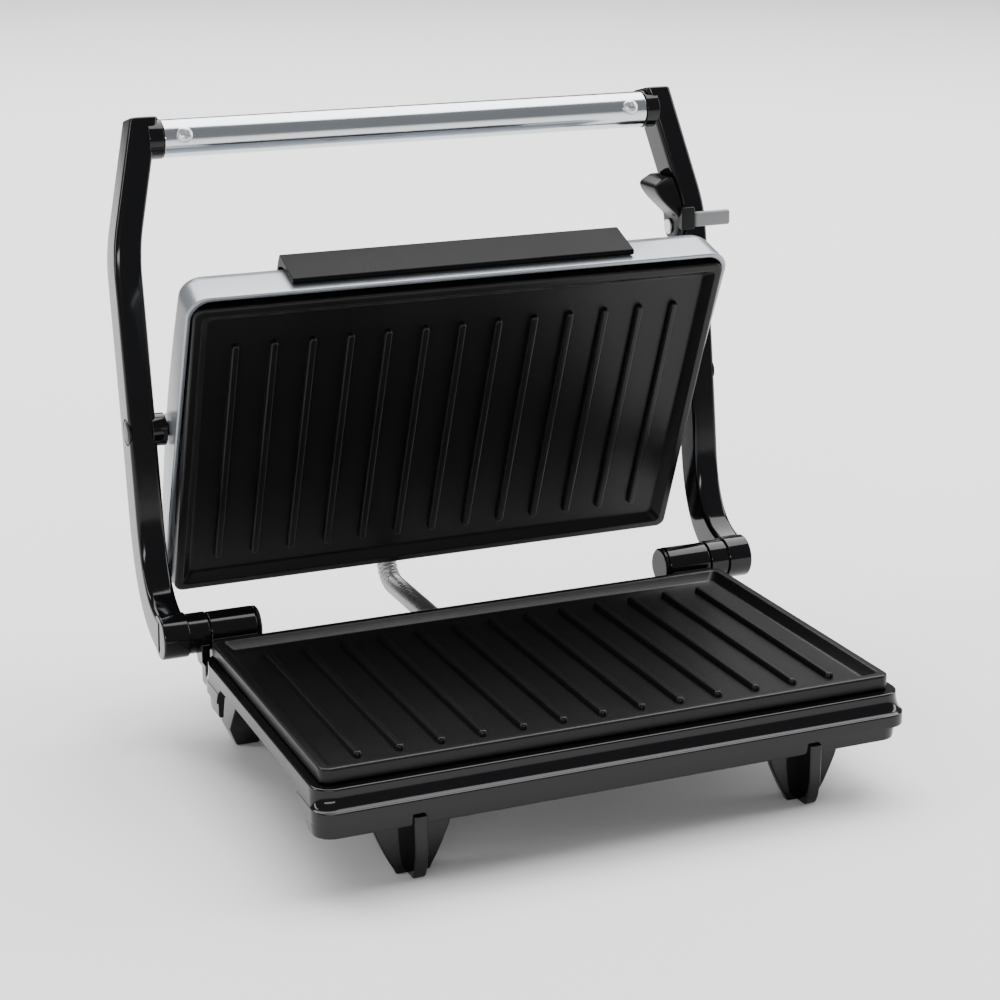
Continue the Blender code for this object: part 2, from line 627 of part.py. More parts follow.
def thermostat(name, seat, direction):
    """Make a disc thermostat with two tag terminals; seat is the middle of its sensing face."""
    body = turned_body(name, [
        (0.0, 0.0), (6.2 * MM, 0.0), (6.6 * MM, 0.4 * MM), (6.6 * MM, 2.0 * MM), (7.6 * MM, 2.2 * MM),
        (7.6 * MM, 3.0 * MM), (5.6 * MM, 3.2 * MM), (5.6 * MM, 5.6 * MM), (0.0, 5.6 * MM)],
        seat, direction, CERAMIC, 24)
    seat, direction = Vector(seat), Vector(direction)
    middle = seat + direction * 4.4 * MM
    for sign in (-1, 1):
        low = middle + Vector((sign * 4.6 * MM - (0 if sign > 0 else 6.4 * MM), -2.4 * MM, -0.4 * MM))
        tag = box(f"{name}_tag_{side_name(sign)}", low, low + Vector((6.4 * MM, 4.8 * MM, 0.8 * MM)), STEEL)
        combine(body, tag, "UNION")
    return body


def fuse(name, middle):
    """Make a one-shot thermal fuse with straight leads along X."""
    return turned_body(name, [
        (0.0, -22 * MM), (0.5 * MM, -22 * MM), (0.5 * MM, -6.5 * MM), (1.9 * MM, -5.5 * MM),
        (1.9 * MM, 5.0 * MM), (1.0 * MM, 6.0 * MM), (0.5 * MM, 6.2 * MM), (0.5 * MM, 22 * MM),
        (0.0, 22 * MM)],
        middle, (1, 0, 0), STEEL, 12)


def tapered_post(name, levels):
    """Make a post from (height, x low, x high, y low, y high) levels."""
    bm = bmesh.new()
    loft(bm, [[(x0, y0, z), (x1, y0, z), (x1, y1, z), (x0, y1, z)] for z, x0, x1, y0, y1 in levels])
    return from_bmesh(name, bm, GLOSS_BLACK)


def add_legs(tray, sign):
    """Add one cross-shaped front leg and one corner rear leg under the tray."""
    name = side_name(sign)
    x = sign * LEG_X
    webs = []
    widths = (LEG_TOP_WIDTH, 0.84 * LEG_TOP_WIDTH, 0.56 * LEG_TOP_WIDTH, LEG_FOOT_WIDTH)
    for t, width in zip((0.0, 0.4, 0.8, 1.0), widths):
        webs.append((LEG_TOP * (1 - t), x - width / 2, x + width / 2,
                     LEG_Y - LEG_WEB / 2, LEG_Y + LEG_WEB / 2))
    combine(tray, tapered_post(f"leg_web_{name}", webs), "UNION")
    blades = []
    for t, start, depth in ((0.0, 0.0, 1.0), (0.6, 0.0, 0.97), (1.0, 3.4 * MM, 0.6)):
        y0 = LEG_BLADE_START + start
        blades.append(((LEG_TOP - 0.4 * MM) * (1 - t), x - LEG_BLADE / 2, x + LEG_BLADE / 2,
                       y0, y0 + LEG_BLADE_DEPTH * depth))
    combine(tray, tapered_post(f"leg_blade_{name}", blades), "UNION")
    posts = []
    for z, outer, near, back in ((TRAY_TOP - 9 * MM, 0.0, 25.0, 7.0), (TRAY_TOP - 19 * MM, 0.0, 24.0, 1.0),
                                 (9 * MM, 0.4, 13.0, 0.0), (0.0, 4.5, 9.0, 0.6)):
        x0, x1 = sorted((sign * REAR_LEG_INNER, sign * (REAR_LEG_OUTER - outer * MM)))
        posts.append((z, x0, x1, REAR_LEG_BACK - near * MM, REAR_LEG_BACK - back * MM))
    combine(tray, tapered_post(f"rear_leg_{name}", posts), "UNION")


def build_bottom():
    """Model the bottom cover and the terminal block standing on it."""
    front, back = TRAY_FRONT + TRAY_WALL + GAP, TRAY_BACK - TRAY_WALL - GAP
    top = PLATE_TOP - PLATE_BODY_HEIGHT - GAP
    floor_z = COVER_FLOOR_Z
    well_z = floor_z - WELL_DROP
    r = TRAY_FRONT_CORNER

    def ring(height, inset=0.0):
        return [(x, y, height) for x, y in outline(COVER_SIDE - inset, front + inset, back - inset, r, r)]

    bm = bmesh.new()
    loft(bm, [ring(well_z + FLOOR, WELL_INSET + 2.4 * MM), ring(floor_z + FLOOR, WELL_INSET + 2.2 * MM),
              ring(floor_z + FLOOR, COVER_WALL), ring(top, COVER_WALL), ring(top), ring(floor_z),
              ring(floor_z, WELL_INSET), ring(well_z, WELL_INSET + 0.6 * MM)])
    cover = from_bmesh("base_cover", bm, GLOSS_BLACK)
    for sign in (-1, 1):
        x0, x1 = sorted((sign * (REAR_LEG_INNER - 2 * GAP), sign * (COVER_SIDE + 2 * MM)))
        corner = box(f"cover_corner_{side_name(sign)}", (x0, TRAY_BACK - CORNER_NOTCH, well_z - 2 * MM),
                     (x1, back + 3 * MM, top + 2 * MM))
        combine(cover, corner, "DIFFERENCE")

    for k, (x, y) in enumerate(POST_SPOTS):
        hole = rod(f"cover_screw_hole_{k}", (x, y, well_z - 2 * MM), (x, y, well_z + FLOOR + 2 * MM),
                   SCREW_RADIUS + SLIP, sides=16)
        combine(cover, hole, "DIFFERENCE")
        pan_screw(f"cover_screw_{k + 1}", (x, y, well_z - GAP), (0, 0, -1), 9.0 * MM, recess=False)
    for x, radius in ((CONDUIT_X, CONDUIT_RADIUS), (GLAND_X, GLAND_RADIUS + 1.6 * MM)):
        hole = rod(f"cover_hole_{round(x / MM)}", (x, back - 6 * MM, CONDUIT_Z),
                   (x, back + 1 * MM, CONDUIT_Z), radius + SLIP)
        combine(cover, hole, "DIFFERENCE")

    block_z = well_z + FLOOR + GAP
    block_y = TRAY_BACK - 33 * MM
    block = box("terminal_block", (26 * MM, block_y - 5 * MM, block_z),
                (48 * MM, block_y + 5 * MM, block_z + 5.8 * MM), CERAMIC, 0.6 * MM)
    for k in range(2):
        well = rod(f"terminal_well_{k}", ((32 + 10 * k) * MM, block_y, block_z + 2.4 * MM),
                   ((32 + 10 * k) * MM, block_y, block_z + 9 * MM), 2.2 * MM, sides=16)
        combine(block, well, "DIFFERENCE")


def pan_screw(name, seat, direction, length, head=3.2, recess=True):
    """Make a screw; seat is the middle of the bearing face, direction points out of the head."""
    r, h = head * MM, 0.62 * head * MM
    screw = turned_body(name, [
        (0.0, h), (0.6 * r, 0.92 * h), (r, 0.35 * h), (r, 0.0),
        (SCREW_RADIUS, 0.0), (SCREW_RADIUS, -length), (0.0, -length)],
        seat, direction, STEEL, 16)
    if not recess:
        return screw
    turn = Vector(direction).to_track_quat("Z", "Y").to_matrix().to_4x4()
    turn.translation = Vector(seat)
    bm = bmesh.new()
    for wide, deep in ((0.62 * r, 0.17 * r), (0.17 * r, 0.62 * r)):
        made = bmesh.ops.create_cube(bm, size=1.0)
        for v in made["verts"]:
            v.co = Vector((v.co.x * 2 * wide, v.co.y * 2 * deep, (v.co.z + 0.5) * h + 0.42 * h))
    bm.transform(turn)
    cross = from_bmesh(f"{name}_recess", bm, STEEL, smooth=False)
    combine(screw, cross, "DIFFERENCE")
    screw.modifiers[-1].use_self = True
    return screw


# ---------------------------------------------------------------- handle

def arm_shift(z):
    """Return how far an arm has leaned in at height z."""
    above = z - HINGE_Z - ARM_ELBOW[1]
    if above >= ARM_BLEND:
        return ARM_LEAN * above
    return ARM_LEAN * max(0.0, above + ARM_BLEND) ** 2 / (4 * ARM_BLEND)


def arm_spine():
    """Return the YZ line down the middle of an arm, from the knuckle up."""
    p0 = Vector((HINGE_Y, HINGE_Z))
    p1, p3 = p0 + Vector((19 * MM, 2 * MM)), p0 + Vector(ARM_KNEE)
    p2 = Vector((p3.x - 3.5 * MM, HINGE_Z + 14 * MM))
    line = []
    for k in range(8):
        t = k / 8
        line.append(p0 * (1 - t) ** 3 + p1 * 3 * t * (1 - t) ** 2 + p2 * 3 * t * t * (1 - t) + p3 * t ** 3)
    elbow = p0 + Vector(ARM_ELBOW)
    top = p0 + Vector(ARM_TOP)
    c1, c2 = p3 + Vector((2.8 * MM, 24 * MM)), elbow - Vector((4.6 * MM, 26 * MM))
    for k in range(7):
        t = k / 7
        line.append(p3 * (1 - t) ** 3 + c1 * 3 * t * (1 - t) ** 2 + c2 * 3 * t * t * (1 - t) + elbow * t ** 3)
    for k in range(6):
        line.append(elbow.lerp(top, k / 5))
    return line


def build_arm(sign):
    """Model one cranked arm with its knuckle, collar, lid boss and grip spigot."""
    name = side_name(sign)
    line = arm_spine()
    rings = []
    for i, p in enumerate(line):
        along = (line[min(i + 1, len(line) - 1)] - line[max(i - 1, 0)]).normalized()
        across = Vector((along.y, -along.x))          # towards the back of the arm
        centre_x = ARM_OUTER - ARM_THICK / 2 - arm_shift(p.y)
        ring = []
        for cx, cy, start in ((1, 1, 0), (-1, 1, 90), (-1, -1, 180), (1, -1, 270)):
            for k in range(3):
                a = math.radians(start + 45 * k)
                u = cx * (ARM_THICK / 2 - ARM_ROUND) + ARM_ROUND * math.cos(a)
                v = cy * (ARM_DEPTH / 2 - ARM_ROUND) + ARM_ROUND * math.sin(a)
                ring.append((sign * (centre_x + u), p.x + across.x * v, p.y + across.y * v))
        rings.append(ring)
        if i == len(line) - 1:
            tip = [(x, y + along.x * 0.9 * MM, z + along.y * 0.9 * MM) for x, y, z in ring]
            mid = sum((Vector(q) for q in tip), Vector()) / len(tip)
            rings.append([mid + (Vector(q) - mid) * 0.9 for q in tip])
    bm = bmesh.new()
    loft(bm, rings)
    arm = from_bmesh(f"arm_{name}", bm, GLOSS_BLACK)

    def across_rod(label, centre, x_low, x_high, radius):
        return rod(f"{label}_{name}", (sign * x_low, centre[1], centre[2]),
                   (sign * x_high, centre[1], centre[2]), radius)

    combine(arm, across_rod("knuckle", HINGE, ARM_INNER + 0.05 * MM, ARM_OUTER - 0.35 * MM,
                            KNUCKLE_RADIUS), "UNION")
    combine(arm, across_rod("collar", HINGE, BARREL_OUTER + GAP, ARM_INNER + 2 * MM, COLLAR_RADIUS), "UNION")
    lug_low, lug_high = sorted((sign * (STOP_INNER + 0.6 * MM), sign * (TRAY_HALF_WIDTH - 0.8 * MM)))
    lug = side_slab(f"stop_lug_{name}", [
        (STOP_FACE + GAP, HINGE_Z - 12 * MM), (HINGE_Y - 1.5 * MM, HINGE_Z - 12 * MM),
        (HINGE_Y + 3 * MM, HINGE_Z - 6 * MM), (HINGE_Y, HINGE_Z), (STOP_FACE + GAP, HINGE_Z - 3 * MM)],
        lug_low, lug_high)
    combine(arm, lug, "UNION")
    combine(arm, across_rod("lid_boss", PIVOT, LID_HALF_WIDTH + GAP, ARM_INNER + 2 * MM,
                            PIVOT_BOSS_RADIUS), "UNION")
    grip = Vector((0, GRIP_Y, GRIP_Z))
    inner_face = ARM_INNER - arm_shift(GRIP_Z)
    combine(arm, across_rod("grip_collar", grip, GRIP_HALF + GAP, inner_face + 3 * MM,
                            GRIP_RADIUS + 0.35 * MM), "UNION")
    combine(arm, across_rod("grip_spigot", grip, GRIP_HALF - GRIP_SOCKET, inner_face + 2 * MM,
                            GRIP_RADIUS - GRIP_WALL - SLIP), "UNION")
    combine(arm, across_rod("hinge_hole", HINGE, BARREL_OUTER - 2 * MM, ARM_OUTER - PIN_COVER,
                            HINGE_PIN_RADIUS + SLIP), "DIFFERENCE")
    combine(arm, across_rod("pivot_hole", PIVOT, LID_HALF_WIDTH - 2 * MM, ARM_OUTER + 2 * MM,
                            PIVOT_PIN_RADIUS + SLIP), "DIFFERENCE")
    combine(arm, across_rod("pivot_recess", PIVOT, ARM_OUTER - 1.2 * MM, ARM_OUTER + 2 * MM,
                            5.6 * MM), "DIFFERENCE")
    out = Vector((0, -math.cos(GRIP_SCREW_TILT), math.sin(GRIP_SCREW_TILT)))
    axis = Vector((sign * GRIP_SCREW_X, GRIP_Y, GRIP_Z))
    hole = rod(f"grip_screw_hole_{name}", axis - out * 2 * MM, axis + out * 12 * MM,
               SCREW_RADIUS + SLIP / 2, sides=16)
    combine(arm, hole, "DIFFERENCE")

    turned_body(f"lid_pivot_pin_{name}", [
        (0.0, 0.5 * MM), (3.6 * MM, 0.4 * MM), (5.0 * MM, -0.1 * MM), (5.2 * MM, -0.9 * MM),
        (PIVOT_PIN_RADIUS, -0.9 * MM), (PIVOT_PIN_RADIUS, -PIN_REACH + 0.8 * MM),
        (PIVOT_PIN_RADIUS - 0.8 * MM, -PIN_REACH), (0.0, -PIN_REACH)],
        (sign * ARM_OUTER, PIVOT.y, PIVOT.z), (sign, 0, 0), MATT_BLACK)


def build_handle():
    """Model both arms, the grip tube and its two screws."""
    for sign in (-1, 1):
        build_arm(sign)
    r = GRIP_RADIUS
    grip = turned_body("grip_tube", [
        (r - GRIP_WALL, -GRIP_HALF), (r - 0.3 * MM, -GRIP_HALF), (r, -GRIP_HALF + 0.3 * MM),
        (r, GRIP_HALF - 0.3 * MM), (r - 0.3 * MM, GRIP_HALF), (r - GRIP_WALL, GRIP_HALF)],
        (0, GRIP_Y, GRIP_Z), (1, 0, 0), CHROME, 40)
    out = Vector((0, -math.cos(GRIP_SCREW_TILT), math.sin(GRIP_SCREW_TILT)))
    for sign in (-1, 1):
        axis = Vector((sign * GRIP_SCREW_X, GRIP_Y, GRIP_Z))
        hole = rod(f"tube_screw_hole_{side_name(sign)}", axis + out * 3 * MM, axis + out * 12 * MM,
                   SCREW_RADIUS + SLIP / 2, sides=16)
        combine(grip, hole, "DIFFERENCE")
        pan_screw(f"grip_screw_{side_name(sign)}", axis + out * (GRIP_RADIUS + GAP / 3), out, 8.0 * MM, 3.3)


# ---------------------------------------------------------------- latch

def build_latch():
    """Model the thumb latch that swings on the inside of the right arm."""
    inner = ARM_INNER - GAP - LATCH_STAND
    hub_low = inner - LATCH_WEB
    lever = rod("latch_lever", (hub_low, LATCH_Y, LATCH_Z), (inner, LATCH_Y, LATCH_Z), 5.4 * MM)
    bm = bmesh.new()
    rings = []
    rows = ((-5.0, -6.0, 4.5, 0.0), (2.0, -9.5, 6.5, 0.0), (5.0, -9.7, 6.9, 0.0), (8.0, -9.8, 7.2, 2.2),
            (12.5, -9.6, 7.6, 5.6), (17.0, -9.2, 8.0, 7.4), (19.5, -8.8, 8.0, 6.4), (22.2, -7.6, 7.6, 1.2))
    for rise, y0, y1, extra in rows:
        z = LATCH_Z + rise * MM
        x1 = inner - max(0.0, arm_shift(z + 4 * MM) - LATCH_STAND - GAP)
        x0 = x1 - LATCH_WEB - extra * MM
        shift = rise * 0.14 * MM
        near, far = LATCH_Y + y0 * MM + shift, LATCH_Y + y1 * MM + shift
        chamfer = 1.2 * MM
        rings.append([(x0, near + chamfer, z), (x0 + chamfer, near, z), (x1, near, z), (x1, far, z),
                      (x0 + chamfer, far, z), (x0, far - chamfer, z)])
    loft(bm, rings)
    combine(lever, from_bmesh("latch_cheek", bm, MATT_BLACK), "UNION")
    bridge_y = LATCH_Y - 9.3 * MM
    bridge_z = LATCH_Z + 4.0 * MM
    bridge = box("latch_bridge",
                 (inner - 2.4 * MM, bridge_y - 2.6 * MM, bridge_z - TAB_HEIGHT / 2 - 0.8 * MM),
                 (ARM_INNER + 3.0 * MM, bridge_y + 1.4 * MM, bridge_z + TAB_HEIGHT / 2 + 2.5 * MM),
                 bevel=0.6 * MM)
    combine(lever, bridge, "UNION")
    hole = rod("latch_hole", (hub_low - 2 * MM, LATCH_Y, LATCH_Z), (inner + 2 * MM, LATCH_Y, LATCH_Z),
               LATCH_PIN_RADIUS + SLIP, sides=32)
    combine(lever, hole, "DIFFERENCE")
    tab_start = ARM_INNER + 3.0 * MM + GAP
    box("latch_tab", (tab_start, bridge_y - 2.2 * MM, bridge_z - TAB_HEIGHT / 2),
        (tab_start + TAB_LENGTH, bridge_y + 1.0 * MM, bridge_z + TAB_HEIGHT / 2), GREY_PLASTIC, 1.2 * MM, 3)
    turned_body("latch_pin", [
        (0.0, 0.9 * MM), (3.0 * MM, 0.9 * MM), (3.4 * MM, 0.5 * MM), (3.4 * MM, 0.0), (LATCH_PIN_RADIUS, 0.0),
        (LATCH_PIN_RADIUS, -LATCH_WEB - 2 * GAP - 6 * MM), (0.0, -LATCH_WEB - 2 * GAP - 6 * MM)],
        (hub_low - GAP, LATCH_Y, LATCH_Z), (-1, 0, 0), STEEL, 32)
    arm = PARTS.objects["arm_right"]
    seat = rod("latch_pin_hole", (ARM_INNER - 3 * MM, LATCH_Y, LATCH_Z),
               (ARM_INNER + 6.6 * MM, LATCH_Y, LATCH_Z), LATCH_PIN_RADIUS + SLIP, sides=32)
    combine(arm, seat, "DIFFERENCE")


# ---------------------------------------------------------------- lid

def build_lid():
    """Model the lid lying shut about its pivot axis, then turn it up."""
    axis = bpy.data.objects.new("lid_axis", None)
    PARTS.objects.link(axis)
    axis.parent = ROOT
    axis.location = PIVOT
    axis.rotation_euler = (-LID_OPENING, 0, 0)
    before = set(bpy.data.objects)
    offset = -Vector((0, PLATE_DEPTH / 2, PIVOT_DEPTH))

    def hump(y):
        t = (y + LID_MARGIN) / (PLATE_DEPTH + 2 * LID_MARGIN)
        return math.sin(math.pi * min(max(t, 0.0), 1.0))

    def ring(inset, front, middle, back):
        points = []
        corner = max(LID_CORNER - 0.35 * inset, 4 * MM)
        for x, y in outline(LID_HALF_WIDTH - inset, -LID_MARGIN + inset, PLATE_DEPTH + LID_MARGIN - inset,
                            corner, corner, 4):
            t = (y + LID_MARGIN) / (PLATE_DEPTH + 2 * LID_MARGIN)
            level = front + (back - front) * t + (middle - (front + back) / 2) * hump(y)
            points.append(Vector((x, y, level)) + offset)
        return points

    def mouth(inset):
        flat = (LID_MOUTH_FRONT + LID_MOUTH_BACK) / 2
        return ring(inset, LID_MOUTH_FRONT, flat, LID_MOUTH_BACK)

    w = LID_WALL
    outer = [(0.9, 15.5, 22.5, 15.0), (1.9, 19.0, 26.0, 18.4), (3.9, 21.7, 28.4, 21.0),
             (7.5, 23.6, 30.3, 23.0), (14.0, 25.0, 31.8, 24.6), (26.0, 26.2, 33.0, 26.0),
             (44.0, 27.2, 34.2, 27.2), (60.0, 28.0, 34.8, 28.0)]
    rings = [ring(a * MM, b * MM, c * MM, d * MM) for a, b, c, d in outer]
    inside = []
    for a, b, c, d in outer:
        sink = 0.8 * MM + (w if a > 7 else w / 2)
        inside.append(ring(a * MM + w, b * MM - sink, c * MM - sink, d * MM - sink))
    lip_front, lip_back = LID_MOUTH_FRONT + 0.8 * MM, LID_MOUTH_BACK + 0.8 * MM
    lip = ring(0.0, lip_front, (lip_front + lip_back) / 2, lip_back)
    bm = bmesh.new()
    seat = LID_MOUTH_BACK + 1.6 * MM
    loft(bm, rings[::-1] + [lip, mouth(0.5 * MM), mouth(w), ring(w, seat, seat, seat)] + inside)
    shell = from_bmesh("lid_shell", bm, SILVER)

    for sign in (-1, 1):
        name = side_name(sign)
        boss = rod(f"lid_side_boss_{name}", (sign * (LID_HALF_WIDTH - 11 * MM), 0, 0),
                   (sign * (LID_HALF_WIDTH - 1.0 * MM), 0, 0), 6.2 * MM)
        combine(shell, boss, "UNION")
        hole = rod(f"lid_side_hole_{name}", (sign * (LID_HALF_WIDTH - 14 * MM), 0, 0),
                   (sign * (LID_HALF_WIDTH + 4 * MM), 0, 0), PIVOT_PIN_RADIUS + SLIP)
        combine(shell, hole, "DIFFERENCE")

    back = PLATE_DEPTH / 2 + LID_MARGIN
    level = CONDUIT_LID_DEPTH - PIVOT_DEPTH
    hole = rod("lid_conduit_hole", (CONDUIT_X, back - 12 * MM, level), (CONDUIT_X, back + 6 * MM, level),
               CONDUIT_RADIUS + SLIP)
    combine(shell, hole, "DIFFERENCE")

    front = -PLATE_DEPTH / 2 - LID_MARGIN
    base = -PIVOT_DEPTH
    flap = base + 23.84 * MM + LID_CROWN * hump(STRIP_FLAP - LID_MARGIN)
    side_slab("lid_front_strip", [
        (front - GAP, base + 5.2 * MM), (front - STRIP_THICK + 0.6 * MM, base + 5.2 * MM),
        (front - STRIP_THICK, base + 5.9 * MM), (front - STRIP_THICK, base + 23.2 * MM),
        (front - STRIP_THICK + 0.9 * MM, base + 24.6 * MM), (front + 1.2 * MM, base + 25.2 * MM),
        (front + STRIP_FLAP, flap + 0.9 * MM), (front + STRIP_FLAP, flap),
        (front + 3.0 * MM, base + 23.3 * MM), (front + 0.6 * MM, base + 19.4 * MM),
        (front - GAP, base + 14.0 * MM)],
        -STRIP_HALF, STRIP_HALF, MATT_BLACK)

    plate = plate_body("upper_grill_plate", UPPER_RIB_MARGINS, flip=True)
    for obj in (plate, CUTTERS.objects["upper_grill_plate_ribs"]):
        obj.data.transform(Matrix.Translation(offset))
    add_posts(plate, "upper", PLATE_BODY_HEIGHT + 10 * MM,
              lambda x, y, d: Vector((x, y, d)) + offset)
    depth = PLATE_BODY_HEIGHT + GAP + ELEMENT_RADIUS
    path = [p + offset for p in smooth_path(heater_path(depth), 3)]
    tube_along("upper_heater", path, ELEMENT_RADIUS, SHEATH, 8)
    shield_depth = PLATE_BODY_HEIGHT + 2 * GAP + 2 * ELEMENT_RADIUS + SHIELD_THICK
    pan = shield("upper_shield", -shield_depth, flip=True)
    pan.data.transform(Matrix.Translation(offset))
    for k, (x, y) in enumerate(POST_SPOTS):
        at = Vector((x, y, 0)) + offset
        hole = rod(f"upper_shield_hole_{k}", at + Vector((0, 0, shield_depth - 4 * MM)),
                   at + Vector((0, 0, shield_depth + 2 * MM)), POST_RADIUS + 2 * SLIP, sides=16)
        combine(pan, hole, "DIFFERENCE")
    seat = Vector((0, FITTING_Y, PLATE_BODY_HEIGHT + GAP)) + offset
    thermostat("upper_thermostat", seat, (0, 0, 1))

    for sign, label, glass in ((-1, "red", RED_LENS), (1, "green", GREEN_LENS)):
        top = Vector((sign * LENS_X, 22 * MM, 31.0 * MM)) + offset
        hole = rod(f"lens_hole_{label}", top - Vector((0, 0, 12 * MM)), top + Vector((0, 0, 9 * MM)),
                   LENS_RADIUS + SLIP)
        combine(shell, hole, "DIFFERENCE")
        turned_body(f"pilot_lens_{label}", [
            (0.0, 1.9 * MM), (2.0 * MM, 1.7 * MM), (3.4 * MM, 1.1 * MM), (LENS_RADIUS, 0.2 * MM),
            (LENS_RADIUS, -5.5 * MM), (2.9 * MM, -5.5 * MM), (2.9 * MM, -0.6 * MM), (0.0, -0.2 * MM)],
            top, (0, 0, 1), glass, 20)
        turned_body(f"neon_lamp_{label}", [
            (0.0, -1.2 * MM), (1.4 * MM, -1.6 * MM), (2.2 * MM, -2.8 * MM), (2.2 * MM, -9.0 * MM),
            (1.0 * MM, -9.8 * MM), (0.0, -9.8 * MM)], top, (0, 0, 1), CERAMIC, 12)
    ferrule = CONDUIT_RADIUS + SLIP
    turned_body("conduit_ferrule_lid", [
        (ferrule, 4.5 * MM), (ferrule + 1.2 * MM, 4.5 * MM), (ferrule + 3.0 * MM, 2.0 * MM),
        (ferrule + 3.0 * MM, GAP), (ferrule, GAP)],
        (CONDUIT_X, back, level), (0, 1, 0), STEEL)

    for obj in set(bpy.data.objects) - before:
        obj.parent = axis


# ---------------------------------------------------------------- conduit

def lid_exit():
    """Return where the conduit leaves the open lid and the way it heads into the lid."""
    shut = Vector((CONDUIT_X, PLATE_DEPTH / 2 + LID_MARGIN, CONDUIT_LID_DEPTH - PIVOT_DEPTH)) + PIVOT
    inward = Vector((0, -math.cos(LID_OPENING), math.sin(LID_OPENING)))
    return turned(shut, PIVOT, -LID_OPENING), inward


def bend_middle():
    """Return the middle of the conduit's turn, which touches its low run and its run into the lid."""
    leave, inward = lid_exit()
    meet_y = leave.y - inward.y * (leave.z - CONDUIT_Z) / inward.z
    turn = math.pi - math.atan2(inward.z, -inward.y)
    return Vector((CONDUIT_X, meet_y - CONDUIT_BEND * math.tan(turn / 2), CONDUIT_Z + CONDUIT_BEND)), turn


def build_conduit():
    """Model the flexible conduit that carries the heater leads from the base to the lid."""
    leave, inward = lid_exit()
    middle, turn = bend_middle()
    start = Vector((CONDUIT_X, TRAY_BACK - 5 * MM, CONDUIT_Z))
    path = [start.lerp(Vector((CONDUIT_X, middle.y, CONDUIT_Z)), k / 8) for k in range(8)]
    for k in range(13):
        a = turn * k / 12
        path.append(middle + CONDUIT_BEND * Vector((0, math.sin(a), -math.cos(a))))
    path += [path[-1].lerp(leave, 0.5), leave, leave + inward * 5 * MM]
    tube_along("heater_conduit", path, CONDUIT_RADIUS, STEEL, 14)


def centre_on_origin():
    """Move the whole press so the middle of its plan sits on the origin."""
    right = ARM_INNER + 3.0 * MM + GAP + TAB_LENGTH
    left = ARM_OUTER + 0.5 * MM
    front = TRAY_FRONT - BAND_SWELL - BAND_LIP
    rear = bend_middle()[0].y + CONDUIT_BEND + CONDUIT_RADIUS
    ROOT.location = (-(right - left) / 2, -(front + rear) / 2, 0)


def main():
    """Build every sub-part and hang the moving ones on their joint axes."""
    build_base()
    fixed = set(PARTS.objects)
    build_handle()
    swinging = set(PARTS.objects) - fixed
    build_latch()
    flicking = set(PARTS.objects) - fixed - swinging
    hang_on_axis("handle_axis", HINGE, swinging)
    hang_on_axis("latch_axis", Vector((ARM_INNER, LATCH_Y, LATCH_Z)), flicking)
    build_lid()
    build_conduit()
    centre_on_origin()


main()
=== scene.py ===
"""Looks for a countertop panini press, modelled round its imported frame.

The press stands open: a shallow gloss-black base on four legs carries a ribbed cast plate, and two
cranked arms with a polished tube between them hold a silver lid with a second ribbed plate.
Every sub-assembly is a class that builds its own meshes, and every finish is a small class that
builds its own shader. Sizes are in millimetres, measured from the front edge of the lower plate
(y), its middle (x) and the worktop (z), and are turned into the frame's metres when a piece is made.
"""

import json
import logging
import math
from collections.abc import Callable, Iterable, Sequence
from dataclasses import dataclass, field
from enum import Enum

import bmesh
import bpy
from mathutils import Matrix, Vector


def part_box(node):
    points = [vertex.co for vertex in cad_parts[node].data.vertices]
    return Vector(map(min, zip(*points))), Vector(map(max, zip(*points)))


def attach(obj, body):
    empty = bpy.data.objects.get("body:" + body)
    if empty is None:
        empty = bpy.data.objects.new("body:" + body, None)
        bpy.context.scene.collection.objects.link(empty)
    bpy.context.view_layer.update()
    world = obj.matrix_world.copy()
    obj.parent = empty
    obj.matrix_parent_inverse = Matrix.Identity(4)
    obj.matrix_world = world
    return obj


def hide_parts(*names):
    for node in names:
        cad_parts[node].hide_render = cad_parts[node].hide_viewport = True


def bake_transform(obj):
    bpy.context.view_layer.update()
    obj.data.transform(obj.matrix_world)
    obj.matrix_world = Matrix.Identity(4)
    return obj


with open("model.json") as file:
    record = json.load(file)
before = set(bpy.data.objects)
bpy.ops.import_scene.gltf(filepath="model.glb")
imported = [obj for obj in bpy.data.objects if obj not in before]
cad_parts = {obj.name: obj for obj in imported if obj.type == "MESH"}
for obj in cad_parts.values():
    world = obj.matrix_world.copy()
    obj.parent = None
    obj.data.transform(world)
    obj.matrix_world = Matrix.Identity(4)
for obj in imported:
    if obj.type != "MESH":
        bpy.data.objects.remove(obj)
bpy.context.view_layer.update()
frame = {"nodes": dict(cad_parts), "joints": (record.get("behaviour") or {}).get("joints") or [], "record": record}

log = logging.getLogger("panini_press")

MM = 0.001
Ring = list[Vector]


class Side(Enum):
    """The two ends of the press, as signs of X."""

    LEFT = -1
    RIGHT = 1

    @property
    def label(self) -> str:
        """Return the side's name as the frame's nodes spell it."""
        return self.name.lower()


# ------------------------------------------------------------------ places taken from the frame


